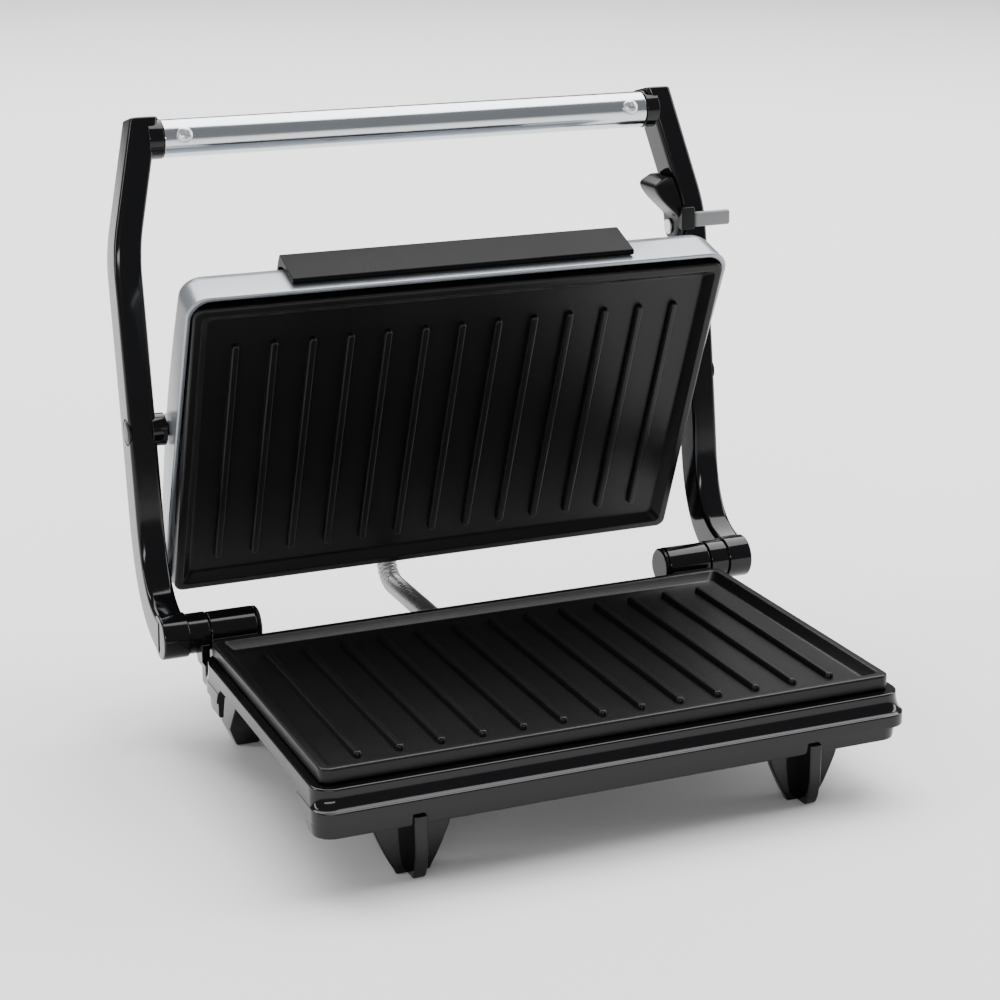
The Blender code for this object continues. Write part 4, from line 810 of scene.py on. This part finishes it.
@dataclass
class BaseTray:
    """The gloss-black tray with its cove, face band, skirt, legs and hinge barrels."""

    front: float = -4.3
    wall: float = 2.4
    reach: float = 9.0
    front_corner: float = 8.0
    back_corner: float = 15.0
    cove_drop: float = 7.4
    swell: float = 4.0
    side_share: float = 0.2
    band_end: float = 12.5
    skirt_drop: float = 19.4
    arch: tuple[float, float, float, float] = (6.0, 122.0, 15.0, 5.2)
    barrel: tuple[float, float, float] = (93.5, 113.2, 8.0)
    leg_x: float = 80.0
    leg_y: float = 5.6
    leg_top: float = 26.2

    def ring(self, drop: float, swell: float, inset: float = 0.0) -> Ring:
        """Return one level of the tray's wall.

        Args:
            drop: how far below the top edge.
            swell: how far the front stands out; the sides share part of it.
            inset: how far the ring is drawn in all round.
        """
        side = self.side_share * swell
        plan = rounded_outline(TRAY_HALF + side - inset, self.front - swell + inset, TRAY_BACK + side - inset,
                               max(self.front_corner - inset, 2.0), max(self.back_corner - inset, 2.0), 12)
        return [Vector((x, y, TRAY_TOP - drop)) for x, y in plan]

    def wall_rings(self) -> list[Ring]:
        """Return the wall's section from the ledge's lip over the outside and back up the inside."""
        rings = [self.ring(0.0, 0.0, 0.9), self.ring(0.12, 0.0, 0.35), self.ring(0.4, 0.0, 0.08),
                 self.ring(0.8, 0.0)]
        cove = [math.radians(a) for a in range(12, 85, 9)]
        foot = self.swell - 0.35
        rings += [self.ring(0.8 + (self.cove_drop - 0.8) * math.sin(a), foot * (1 - math.cos(a)))
                  for a in cove]
        rings += [self.ring(self.cove_drop + 0.1, foot + 0.08), self.ring(self.cove_drop + 0.3, self.swell - 0.1),
                  self.ring(self.cove_drop + 0.7, self.swell), self.ring(self.band_end - 0.6, self.swell),
                  self.ring(self.band_end - 0.2, self.swell - 0.12), self.ring(self.band_end, self.swell - 0.5),
                  self.ring(self.band_end, 0.5), self.ring(self.band_end + 0.15, 0.15),
                  self.ring(self.band_end + 0.5, 0.0), self.ring(self.skirt_drop - 0.9, 0.0, 0.5),
                  self.ring(self.skirt_drop - 0.25, 0.0, 0.75), self.ring(self.skirt_drop, 0.0, 1.2),
                  self.ring(self.skirt_drop, 0.0, self.wall)]
        rings += [self.ring(self.band_end - self.wall, 0.0, self.wall),
                  self.ring(self.cove_drop, 0.9 * self.swell, self.wall), self.ring(5.4, 2.3, self.wall),
                  self.ring(2.0, 0.0, self.wall), self.ring(2.0, 0.0, self.reach), self.ring(0.2, 0.0, self.reach),
                  self.ring(0.0, 0.0, self.reach - 0.2)]
        return rings

    def front_leg(self, side: Side) -> list[Solid]:
        """Return a cross-shaped front leg as a tapering web and a blade."""
        x = side.value * self.leg_x
        web_rows = ((0.0, 16.5), (0.2, 15.6), (0.4, 13.9), (0.6, 11.7), (0.8, 9.2), (0.93, 7.2), (1.0, 6.5))
        left = [(x - half, self.leg_top * (1 - t)) for t, half in web_rows]
        right = [(x + half, self.leg_top * (1 - t)) for t, half in reversed(web_rows)]
        web = self._front_web(left + right)
        blade_rows = ((0.0, -5.4, 13.6), (0.35, -5.4, 13.4), (0.6, -5.4, 13.0), (0.85, -4.0, 11.2),
                      (0.96, -2.6, 9.9), (1.0, -1.6, 9.2))
        fore = [(y0, (self.leg_top - 0.4) * (1 - t)) for t, y0, _ in blade_rows]
        aft = [(y1, (self.leg_top - 0.4) * (1 - t)) for t, _, y1 in reversed(blade_rows)]
        return [web, Solid.slab(fore + aft, x - 2.5, x + 2.5, 0.7)]

    def _front_web(self, outline: Sequence[tuple[float, float]]) -> Solid:
        """Return the leg's web, an XZ outline with thickness along Y."""
        solid = Solid()
        face = solid.bm.faces.new([solid.bm.verts.new((x, self.leg_y - 1.7, z)) for x, z in outline])
        made = bmesh.ops.extrude_face_region(solid.bm, geom=[face])["geom"]
        moved = [g for g in made if isinstance(g, bmesh.types.BMVert)]
        bmesh.ops.translate(solid.bm, verts=moved, vec=(0, 3.4, 0))
        solid._outward()
        return solid.soften(0.6, 3, 20.0)

    def rear_leg(self, side: Side) -> Solid:
        """Return one corner leg at the back."""
        rows = ((32.0, 110.0, 125.0, 143.0), (22.0, 110.0, 126.0, 149.0), (9.0, 109.6, 137.0, 150.0),
                (1.0, 106.2, 140.6, 149.7), (0.0, 105.5, 141.2, 149.2))
        rings = []
        for z, outer, near, far in rows:
            x0, x1 = sorted((side.value * 96.0, side.value * outer))
            rings.append([Vector(p) for p in ((x0, near, z), (x1, near, z), (x1, far, z), (x0, far, z))])
        return Solid.skin(rings).soften(0.7, 3, 40.0)

    def build(self) -> None:
        """Build the tray and everything moulded with it."""
        tray = Solid.skin(self.wall_rings(), closed=True)
        hinge = DATUM.hinge
        add: list[Solid] = []
        take: list[Solid] = []
        start, end, ramp, crown = self.arch
        top, low = TRAY_TOP - crown, TRAY_TOP - self.skirt_drop - 2
        barrel_in, barrel_out, barrel_radius = self.barrel
        neck_low, lug_top = TRAY_TOP - self.band_end, hinge.z
        for side in LEFT_RIGHT:
            bow = [(start + ramp * t, low + (top - low) * math.sin(t * math.pi / 2) ** 0.9) for t in
                   (k / 10 for k in range(11))]
            fall = [(end - ramp / 2 * t, low + (top - low) * math.sin(t * math.pi / 2) ** 0.9) for t in
                    (k / 10 for k in range(11))]
            take.append(side_slab(side, bow + fall[::-1], TRAY_HALF - self.wall - 1.2, TRAY_HALF + 6))
            add.append(side_slab(side, [(TRAY_BACK - 1.2, neck_low), (hinge.y + 5, neck_low),
                                        (hinge.y + barrel_radius - 0.4, hinge.z - 2), (hinge.y, hinge.z),
                                        (TRAY_BACK - 1.2, hinge.z - 1)], barrel_in + 0.6, barrel_out - 0.6, 0.4))
            add.append(along_x(side, barrel_in, barrel_out, hinge, barrel_radius, 0.7, 72))
            pad_low, pad_high = sorted((side.value * 113.6, side.value * (TRAY_HALF - 0.4)))
            add.append(Solid.block((pad_low, TRAY_BACK - 7.5, neck_low + 0.4), (pad_high, TRAY_BACK - 1.6, 37.8), 0.5))
            take.append(along_x(side, barrel_in + 5, barrel_out + 2, hinge, 3.3))
            take.append(along_x(side, barrel_in - 2, barrel_in + 6, hinge, 5.3))
            add += [*self.front_leg(side), self.rear_leg(side)]
        for x, radius in ((CONDUIT_X, CONDUIT_RADIUS + 0.3), (42.0, 4.3)):
            take.append(Solid.rod((x, TRAY_BACK - 6, CONDUIT_Z), (x, TRAY_BACK + 4, CONDUIT_Z), radius))
        tray.cut(*take[:1], *take[3:4]).join(*add).cut(*take[1:3], *take[4:])
        tray.piece("base_tray", "base", Finish.GLOSS_BLACK, "gloss_black_plastic", ["base_housing"])


# ------------------------------------------------------------------ grill plates


@dataclass
class GrillPlate:
    """A ribbed cast plate with a raised rim, made rim up at height 0."""

    name: str
    body: str
    margins: tuple[float, float]
    lid: bool
    post_depth: float
    corner: float = 4.0
    rim: float = 3.6
    well: float = 3.4
    slope: float = 3.2
    rib_count: int = 13
    rib_pitch: float = 16.06
    rib_half: float = 1.8
    rib_height: float = 2.2

    def ring(self, inset: float, height: float) -> Ring:
        """Return one level of the casting."""
        r = max(self.corner - inset, 2.5)
        plan = rounded_outline(PLATE_WIDTH / 2 - inset, inset, PLATE_DEPTH - inset, r, r, 12)
        return [Vector((x, y, height)) for x, y in plan]

    def rib(self, x: float) -> Solid:
        """Return one rib with a crowned top and round ends."""
        front, back = self.margins
        half = self.rib_half
        rows = ((-0.16, -0.5), (0.0, 0.0), (0.16, 0.5), (0.36, 0.8), (0.66, 0.95), (1.05, 1.0))
        rings = []
        for inset, share in rows:
            r = half - inset
            ring = []
            for y, start in ((PLATE_DEPTH - back - half, 0), (front + half, 180)):
                turn = [math.radians(start + 18 * k) for k in range(11)]
                ring += [Vector((x + r * math.cos(a), y + r * math.sin(a), share * self.rib_height - self.well))
                         for a in turn]
            rings.append(ring)
        return Solid.skin(rings)

    def build(self) -> None:
        """Build the plate, turned rim down for the lid."""
        rim, foot = self.rim, self.rim + self.slope
        plate = Solid.skin([
            self.ring(foot + 1.2, -self.well), self.ring(foot + 0.3, -self.well + 0.06),
            self.ring(foot - 0.5, -self.well + 0.42), self.ring(rim + 0.5, -0.8), self.ring(rim + 0.1, -0.28),
            self.ring(rim - 0.25, -0.04), self.ring(rim - 0.7, 0.0), self.ring(1.1, 0.0), self.ring(0.55, -0.08),
            self.ring(0.2, -0.32), self.ring(0.03, -0.7), self.ring(0.0, -1.1), self.ring(0.0, -5.1),
            self.ring(0.15, -5.5), self.ring(0.6, -5.7), self.ring(6.5, -5.7), self.ring(7.1, -9.0)])
        ribs = [self.rib((i - (self.rib_count - 1) / 2) * self.rib_pitch) for i in range(self.rib_count)]
        bundle = ribs[0]
        for rib in ribs[1:]:
            bundle.with_loose(rib)
        posts = [Solid.rod((x, y, -8.0), (x, y, -self.post_depth), 3.6, 0.0, 32)
                 for x in (-57.0, 57.0) for y in (46.0, 94.0)]
        plate.join(bundle, *posts)
        if self.lid:
            plate.move(Matrix.Scale(-1, 4, (0, 0, 1)))
            plate.move(Matrix.Translation((0, -PLATE_DEPTH / 2, -PIVOT_DEPTH)))
        else:
            plate.move(Matrix.Translation((0, 0, PLATE_TOP)))
        plate.piece(f"{self.name}_casting", self.body, Finish.NONSTICK, "nonstick_coating", [self.name],
                    self.lid, 50.0)


# ------------------------------------------------------------------ handle


@dataclass
class HandleArm:
    """One cranked arm with its knuckle, stop lug, lid boss and grip spigot."""

    side: Side
    depth: float = 16.0
    round_: float = 2.2
    lean: float = 0.246
    blend: float = 10.0
    knee: tuple[float, float] = (186.5, 89.0)
    elbow: tuple[float, float] = (202.2, 195.0)
    top: tuple[float, float] = (213.5, 246.5)

    def shift(self, z: float) -> float:
        """Return how far the arm has leaned in at a height."""
        above = z - self.elbow[1]
        if above >= self.blend:
            return self.lean * above
        return self.lean * max(0.0, above + self.blend) ** 2 / (4 * self.blend)

    def spine(self) -> list[Vector]:
        """Return the middle line in Y and Z from the knuckle up."""
        hinge = DATUM.hinge
        p0, p3 = Vector((hinge.y, hinge.z)), Vector(self.knee)
        p1, p2 = Vector((hinge.y + 19, hinge.z + 2)), Vector((self.knee[0] - 3.5, hinge.z + 14))
        elbow, top = Vector(self.elbow), Vector(self.top)
        c1, c2 = p3 + Vector((2.8, 24)), elbow - Vector((4.6, 26))
        line = []
        for a, b, c, d, steps in ((p0, p1, p2, p3, 26), (p3, c1, c2, elbow, 24)):
            for t in (k / steps for k in range(steps)):
                line.append(a * (1 - t) ** 3 + b * 3 * t * (1 - t) ** 2 + c * 3 * t * t * (1 - t) + d * t ** 3)
        return line + [elbow.lerp(top, k / 16) for k in range(17)]

    def section(self, at: Vector, ahead: Vector, shrink: float) -> Ring:
        """Return the arm's rounded section at one point of its spine."""
        across = Vector((ahead.y, -ahead.x))
        half_x, half_y, r = ARM_THICK / 2 - shrink, self.depth / 2 - shrink, self.round_
        middle = ARM_OUTER - ARM_THICK / 2 - self.shift(at.y)
        ring = []
        for cx, cy, start in ((1, 1, 0), (-1, 1, 90), (-1, -1, 180), (1, -1, 270)):
            for a in (math.radians(start + 15 * k) for k in range(7)):
                u = cx * (half_x - r) + r * math.cos(a)
                v = cy * (half_y - r) + r * math.sin(a)
                ring.append(Vector((self.side.value * (middle + u), at.x + across.x * v, at.y + across.y * v)))
        return ring

    def build(self) -> None:
        """Build the arm and its screw."""
        line = self.spine()
        rings = []
        for i, at in enumerate(line):
            ahead = (line[min(i + 1, len(line) - 1)] - line[max(i - 1, 0)]).normalized()
            rings.append(self.section(at, ahead, 0.0))
        for rise, shrink in ((0.35, 0.12), (0.65, 0.4), (0.85, 0.9)):
            rings.append(self.section(line[-1] + ahead * rise, ahead, shrink))
        arm = Solid.skin(rings)
        side, hinge, pivot = self.side, DATUM.hinge, DATUM.pivot
        grip = Vector((0.0, GripTube.y, GripTube.z))
        inner = ARM_INNER - self.shift(grip.z)
        out = GripTube.screw_way()
        axis = Vector((side.value * GripTube.screw_x, grip.y, grip.z))
        stop = TRAY_BACK - 1.3
        arm.join(
            along_x(side, ARM_INNER + 0.05, ARM_OUTER - 0.35, hinge, 9.2, 0.8, 72),
            along_x(side, 113.5, ARM_INNER + 2, hinge, 8.3, 0.4, 72),
            side_slab(side, [(stop, hinge.z - 12), (hinge.y - 1.5, hinge.z - 12), (hinge.y + 3, hinge.z - 6),
                             (hinge.y, hinge.z), (stop, hinge.z - 3)], 114.2, TRAY_HALF - 0.8, 0.4),
            along_x(side, LID_HALF + 0.3, ARM_INNER + 2, pivot, 6.8, 0.3, 64),
            along_x(side, GripTube.half + 0.3, inner + 3, grip, 8.1, 0.4, 64),
            along_x(side, GripTube.half - 16, inner + 2, grip, 6.45, 0.3, 48))
        arm.cut(
            along_x(side, 111.2, ARM_OUTER - 2.6, hinge, 3.3),
            along_x(side, LID_HALF - 2, ARM_OUTER + 2, pivot, 3.3),
            along_x(side, ARM_OUTER - 1.2, ARM_OUTER + 2, pivot, 5.6),
            Solid.rod(axis - out * 2, axis + out * 12, 1.75, 0.0, 32))
        arm.piece(f"handle_arm_{side.label}", "handle", Finish.GLOSS_BLACK, "gloss_black_plastic",
                  [f"arm_{side.label}"])
        screw = pan_screw(axis + out * (GripTube.radius + 0.1), out, 3.3, 8.0)
        screw.piece(f"handle_screw_{side.label}", "handle", Finish.ZINC, "zinc_steel", [f"grip_screw_{side.label}"])


@dataclass
class GripTube:
    """The polished tube between the arms, drilled for its two screws."""

    y = 210.3
    z = 239.0
    radius = 7.75
    half = 107.5
    screw_x = 99.5
    wall: float = 1.0

    @staticmethod
    def screw_way() -> Vector:
        """Return the direction the two screw heads face."""
        tilt = math.radians(15.0)
        return Vector((0.0, -math.cos(tilt), math.sin(tilt)))

    def build(self) -> None:
        """Build the tube."""
        r, bore, half = self.radius, self.radius - self.wall, self.half
        tube = Solid.turned([(bore, -half), (r - 0.3, -half), (r - 0.08, -half + 0.08), (r, -half + 0.3),
                             (r, half - 0.3), (r - 0.08, half - 0.08), (r - 0.3, half), (bore, half)],
                            Vector((0, self.y, self.z)), Vector((1, 0, 0)), 120)
        out = self.screw_way()
        holes = []
        for side in LEFT_RIGHT:
            axis = Vector((side.value * self.screw_x, self.y, self.z))
            holes.append(Solid.rod(axis + out * 3, axis + out * 12, 1.75, 0.0, 32))
        tube.cut(*holes)
        tube.piece("handle_tube", "handle", Finish.POLISHED, "polished_steel", ["grip_tube"])


# ------------------------------------------------------------------ latch


@dataclass
class Latch:
    """The thumb latch inside the right arm: a hooked cheek, a bridge and a grey tab."""

    web: float = 2.8
    stand_off: float = 0.5
    tab: tuple[float, float] = (17.5, 6.6)

    def build(self) -> None:
        """Build the lever and its tab."""
        y, z = DATUM.latch.y, DATUM.latch.z
        inner = ARM_INNER - 0.3 - self.stand_off
        arm = HandleArm(Side.RIGHT)
        rows = ((-5.0, -6.0, 4.5, 0.0), (2.0, -9.5, 6.5, 0.0), (5.0, -9.7, 6.9, 0.0), (8.0, -9.8, 7.2, 2.2),
                (12.5, -9.6, 7.6, 5.6), (17.0, -9.2, 8.0, 7.4), (19.5, -8.8, 8.0, 6.4), (22.2, -7.6, 7.6, 1.2))
        rings = []
        for row in curve_through([Vector(r) for r in rows], 3):
            rise, near, far, extra = row
            level = z + rise
            x1 = inner - max(0.0, arm.shift(level + 4.0) - self.stand_off - 0.3)
            x0 = x1 - self.web - max(extra, 0.0)
            lean = y + rise * 0.14
            rings.append([Vector(p) for p in (
                (x0, lean + near + 1.5, level), (x0 + 0.45, lean + near + 0.45, level), (x0 + 1.5, lean + near, level),
                (x1, lean + near, level), (x1, lean + far, level), (x0 + 1.5, lean + far, level),
                (x0 + 0.45, lean + far - 0.45, level), (x0, lean + far - 1.5, level))])
        lever = Solid.skin(rings)
        bridge_y, bridge_z = y - 9.3, z + 4.0
        lever.join(
            Solid.rod((inner - self.web, y, z), (inner, y, z), 5.4, 0.4, 64),
            Solid.block((inner - 2.4, bridge_y - 2.6, bridge_z - self.tab[1] / 2 - 0.8),
                        (ARM_INNER + 3.0, bridge_y + 1.4, bridge_z + self.tab[1] / 2 + 2.5), 0.6))
        lever.cut(Solid.rod((inner - self.web - 2, y, z), (inner + 2, y, z), 2.3, 0.0, 48))
        lever.piece("latch_cheek", "latch", Finish.SATIN_BLACK, "matt_black_plastic", ["latch_lever"])
        start = ARM_INNER + 3.3
        tab = Solid.block((start, bridge_y - 2.2, bridge_z - self.tab[1] / 2),
                          (start + self.tab[0], bridge_y + 1.0, bridge_z + self.tab[1] / 2), 1.2, 4)
        tab.piece("latch_thumb_tab", "latch", Finish.GREY_TAB, "light_grey_plastic", ["latch_tab"])


# ------------------------------------------------------------------ lid


@dataclass
class Lid:
    """The silver cover over the upper plate, with a dark strip along its front."""

    corner: float = 9.0
    wall: float = 1.8
    mouth: tuple[float, float] = (1.2, 9.0)
    strip_half: float = 74.0
    strip_thick: float = 2.6

    def ring(self, inset: float, front: float, middle: float, back: float) -> Ring:
        """Return one ring of the cover.

        Args:
            inset: how far it is drawn in from the side.
            front: its depth behind the plate's rim at the front.
            middle: its depth half way back.
            back: its depth at the back.
        """
        corner = max(self.corner - 0.35 * inset, 4.0)
        plan = rounded_outline(LID_HALF - inset, inset - LID_MARGIN, PLATE_DEPTH + LID_MARGIN - inset,
                               corner, corner, 10, 8)
        points = []
        for x, y in plan:
            t = (y + LID_MARGIN) / (PLATE_DEPTH + 2 * LID_MARGIN)
            hump = math.sin(math.pi * min(max(t, 0.0), 1.0))
            level = front + (back - front) * t + (middle - (front + back) / 2) * hump
            points.append(Vector((x, y - PLATE_DEPTH / 2, level - PIVOT_DEPTH)))
        return points

    def lip(self, inset: float, rise: float) -> Ring:
        """Return a ring parallel to the cover's mouth."""
        front, back = self.mouth
        return self.ring(inset, front + rise, (front + back) / 2 + rise, back + rise)

    def shell(self) -> Solid:
        """Return the cover as one closed body."""
        profile = [Vector(p) for p in (
            (0.9, 15.5, 22.5, 15.0), (1.9, 19.0, 26.0, 18.4), (3.9, 21.7, 28.4, 21.0), (7.5, 23.6, 30.3, 23.0),
            (14.0, 25.0, 31.8, 24.6), (26.0, 26.2, 33.0, 26.0), (44.0, 27.2, 34.2, 27.2), (60.0, 28.0, 34.8, 28.0))]
        outer = curve_through(profile, 3)
        w, seat = self.wall, self.mouth[1] + 1.6
        inside = [self.ring(a + w, *(depth - 0.8 - (w if a > 7 else w / 2) for depth in (b, c, d)))
                  for a, b, c, d in outer]
        return Solid.skin([*(self.ring(*row) for row in reversed(outer)), self.lip(0.15, 2.2), self.lip(0.0, 0.9),
                           self.lip(0.06, 0.45), self.lip(0.3, 0.12), self.lip(0.65, 0.0), self.lip(w - 0.3, 0.0),
                           self.lip(w, 0.25), self.ring(w, seat, seat, seat), *inside])

    def strip(self) -> Solid:
        """Return the strip clipped over the front edge."""
        front = -PLATE_DEPTH / 2 - LID_MARGIN
        thick = front - self.strip_thick
        outline = [(front - 0.3, 5.2), (thick + 0.6, 5.2), (thick, 5.9), (thick, 23.2), (thick + 0.3, 24.0),
                   (thick + 0.9, 24.6), (front + 1.2, 25.2), (front + 8.0, 25.9), (front + 8.0, 25.0),
                   (front + 3.0, 23.3), (front + 0.6, 19.4), (front - 0.3, 14.0)]
        return Solid.slab([(y, z - PIVOT_DEPTH) for y, z in outline], -self.strip_half, self.strip_half, 0.3, 2)

    def build(self) -> None:
        """Build the cover and its strip."""
        shell = self.shell()
        nowhere = Vector((0.0, 0.0, 0.0))
        back = PLATE_DEPTH / 2 + LID_MARGIN
        level = CONDUIT_LID_DEPTH - PIVOT_DEPTH
        holes = [Solid.rod((CONDUIT_X, back - 12, level), (CONDUIT_X, back + 6, level), CONDUIT_RADIUS + 0.3)]
        bosses = []
        for side in LEFT_RIGHT:
            bosses.append(along_x(side, LID_HALF - 11, LID_HALF - 1, nowhere, 6.2))
            holes.append(along_x(side, LID_HALF - 14, LID_HALF + 4, nowhere, 3.3))
            top = Vector((side.value * 14.0, 22.0 - PLATE_DEPTH / 2, 31.0 - PIVOT_DEPTH))
            holes.append(Solid.rod(top - Vector((0, 0, 12)), top + Vector((0, 0, 9)), 4.3))
        shell.join(*bosses).cut(*holes)
        shell.piece("lid_cover", "lid", Finish.SILVER, "silver_plastic", ["lid_shell"], True, 40.0)
        self.strip().piece("lid_dark_strip", "lid", Finish.STRIP_BLACK, "matt_black_plastic",
                           ["lid_front_strip"], True, 40.0)


# ------------------------------------------------------------------ conduit


@dataclass
class Conduit:
    """The wound steel conduit from the base to the lid, in two lengths that meet at the hinge."""

    pitch: float = 2.5
    groove: float = 0.55
    facets: int = 28
    start_y: float = 141.0
    split: float = 24.0
    bend: float = 11.0

    def radius(self, run: float, angle: float) -> float:
        """Return the radius of the winding, a rounded thread that climbs one pitch a turn."""
        phase = (run / self.pitch + angle / math.tau) % 1.0
        return CONDUIT_RADIUS - self.groove * abs(2 * phase - 1) ** 2.2

    def lid_point(self, y: float) -> Vector:
        """Return a point at the conduit's depth in the lid, in the open press."""
        shut = Vector((CONDUIT_X, y - PLATE_DEPTH / 2, CONDUIT_LID_DEPTH - PIVOT_DEPTH))
        return Matrix.Rotation(-DATUM.lid_opening, 3, "X") @ shut + DATUM.pivot

    def line(self) -> list[Vector]:
        """Return the middle of the conduit, cut finely enough to carry its winding."""
        leave = self.lid_point(PLATE_DEPTH + LID_MARGIN)
        inward = Vector((0.0, -math.cos(DATUM.lid_opening), math.sin(DATUM.lid_opening)))
        meet = leave.y - inward.y * (leave.z - CONDUIT_Z) / inward.z
        turn = math.pi - math.atan2(inward.z, -inward.y)
        middle = Vector((CONDUIT_X, meet - self.bend * math.tan(turn / 2), CONDUIT_Z + self.bend))
        arc = [turn * k / 40 for k in range(41)]
        coarse = [Vector((CONDUIT_X, self.start_y, CONDUIT_Z))]
        coarse += [middle + self.bend * Vector((0.0, math.sin(a), -math.cos(a))) for a in arc]
        coarse += [leave, leave + inward * 5]
        step = self.pitch / 6
        line, left = [coarse[0]], step
        for a, b in zip(coarse, coarse[1:]):
            length = (b - a).length
            while length > left:
                a = a.lerp(b, left / length)
                line.append(a)
                length, left = (b - a).length, step
            left -= length
        return line

    def build(self) -> None:
        """Build both lengths as fixed pieces that ride on no body."""
        line = self.line()
        cut = next(i for i, p in enumerate(line) if p.y > self.start_y + self.split)
        lengths = (("conduit_lower", line[:cut + 1], ("base", "handle"), 0),
                   ("conduit_upper", line[cut:], ("handle", "lid"), cut))
        for name, points, (near, far), offset in lengths:
            run = offset * self.pitch / 6
            tube = Solid.sweep(points, lambda s, a, run=run: self.radius(s + run, a), self.facets)
            replaced = ["heater_conduit"] if near == "base" else []
            made = tube.piece(name, "", Finish.CONDUIT, "zinc_steel", replaced, False, 60.0)
            ends = [DATUM.to_frame() @ p for p in (points[0], points[-1])]
            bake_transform(made)


# ------------------------------------------------------------------ pieces kept from the frame

KEPT = {
    Finish.GLOSS_BLACK: ["base_cover"],
    Finish.SATIN_BLACK: ["hinge_cap_left", "hinge_cap_right", "lid_pivot_pin_left", "lid_pivot_pin_right"],
    Finish.ZINC: ["cover_screw_1", "cover_screw_2", "cover_screw_3", "cover_screw_4", "hinge_pin_left",
                  "hinge_pin_right", "latch_pin", "conduit_ferrule_base", "conduit_ferrule_lid",
                  "lower_thermal_fuse"],
    Finish.RUBBER: ["cord_gland"],
    Finish.SHEATH: ["lower_heater", "upper_heater"],
    Finish.SHEET: ["lower_shield", "upper_shield"],
    Finish.CERAMIC: ["lower_thermostat", "upper_thermostat", "terminal_block", "neon_lamp_red", "neon_lamp_green"],
    Finish.RED_LENS: ["pilot_lens_red"],
    Finish.GREEN_LENS: ["pilot_lens_green"],
}


def dress_kept() -> None:
    """Give every piece kept from the frame its finish."""
    for finish, names in KEPT.items():
        for name in names:
            node = frame["nodes"][name]
            for holder in node.material_slots:
                holder.material = finish.material()
            log.info("%s keeps its shape and takes %s", name, finish.value.name)


# ------------------------------------------------------------------ stage


@dataclass
class Stage:
    """The pale floor, soft lights and the camera."""

    floor_shade: float = 0.86
    world_strength: float = 0.30
    eye: tuple[float, float, float] = (-338.64, -708.10, 369.73)
    yaw: float = 0.391
    pitch: float = 0.295
    roll: float = -0.008
    lens: float = 83.05

    def floor(self) -> None:
        """Lay a large pale floor with a faint mottle."""
        bm = bmesh.new()
        bmesh.ops.create_grid(bm, x_segments=8, y_segments=8, size=30.0)
        mesh = bpy.data.meshes.new("floor")
        bm.to_mesh(mesh)
        bm.free()
        shader = Shader("pale_floor")
        tint = (self.floor_shade, self.floor_shade * 0.995, self.floor_shade * 0.985)
        shader.set(Base_Color=shader.blend(shader.noise(3.0, 2.0), tuple(c * 0.985 for c in tint), tint))
        shader.set(Roughness=0.85, Specular_IOR_Level=0.1)
        mesh.materials.append(shader.material)
        floor = bpy.data.objects.new("floor", mesh)
        bpy.context.scene.collection.objects.link(floor)

    def lamp(self, name: str, place: Vector, aim: Vector, size: tuple[float, float], power: float) -> None:
        """Hang one rectangular light.

        Args:
            name: its name.
            place: where it hangs, in metres.
            aim: what it points at, in metres.
            size: its width and height in metres.
            power: its power in watts.
        """
        data = bpy.data.lights.new(name, "AREA")
        data.shape = "RECTANGLE"
        data.size, data.size_y = size
        data.energy = power
        lamp = bpy.data.objects.new(name, data)
        lamp.location = place
        lamp.rotation_euler = (aim - place).to_track_quat("-Z", "Y").to_euler()
        bpy.context.scene.collection.objects.link(lamp)

    def lights(self) -> None:
        """Light the press from a soft dome and three large panels."""
        world = bpy.data.worlds.new("studio")
        world.use_nodes = True
        ground = world.node_tree.nodes["Background"]
        ground.inputs["Color"].default_value = (0.96, 0.98, 1.0, 1.0)
        ground.inputs["Strength"].default_value = self.world_strength
        bpy.context.scene.world = world
        middle = Vector((0.0, 0.0, 0.1))
        self.lamp("overhead", Vector((0.5, 1.5, 2.6)), Vector((0.2, 1.2, 0.0)), (4.4, 3.2), 300.0)
        self.lamp("front_strip", Vector((-1.0, -2.2, 0.75)), middle, (2.2, 0.22), 20.0)
        self.lamp("right_panel", Vector((1.9, -0.3, 0.9)), middle, (0.5, 1.6), 22.0)
        self.lamp("left_strip", Vector((-1.7, 0.3, 0.8)), middle, (0.2, 1.4), 12.0)

    def camera(self) -> None:
        """Stand the camera at the front left."""
        ahead = Vector((math.sin(self.yaw) * math.cos(self.pitch), math.cos(self.yaw) * math.cos(self.pitch),
                        -math.sin(self.pitch)))
        right = Vector((math.cos(self.yaw), -math.sin(self.yaw), 0.0))
        up = right.cross(ahead)
        side = right * math.cos(self.roll) + up * math.sin(self.roll)
        top = up * math.cos(self.roll) - right * math.sin(self.roll)
        data = bpy.data.cameras.new("view")
        data.lens = self.lens
        data.clip_start = 0.01
        camera = bpy.data.objects.new("view", data)
        camera.matrix_world = Matrix((side, top, -ahead)).transposed().to_4x4()
        camera.location = DATUM.to_frame() @ Vector(self.eye)
        bpy.context.scene.collection.objects.link(camera)
        bpy.context.scene.camera = camera

    def build(self) -> None:
        """Build the stage."""
        self.floor()
        self.lights()
        self.camera()


def main() -> None:
    """Build the press from the base up, then the stage."""
    BaseTray().build()
    GrillPlate("lower_grill_plate", "base", (13.0, 16.0), False, 24.0).build()
    HandleArm(Side.LEFT).build()
    HandleArm(Side.RIGHT).build()
    GripTube().build()
    Latch().build()
    Lid().build()
    GrillPlate("upper_grill_plate", "lid", (19.0, 14.0), True, 19.0).build()
    Conduit().build()
    dress_kept()
    Stage().build()


if __name__ == "__main__":
    logging.basicConfig(level=logging.INFO, format="%(message)s")
    main()
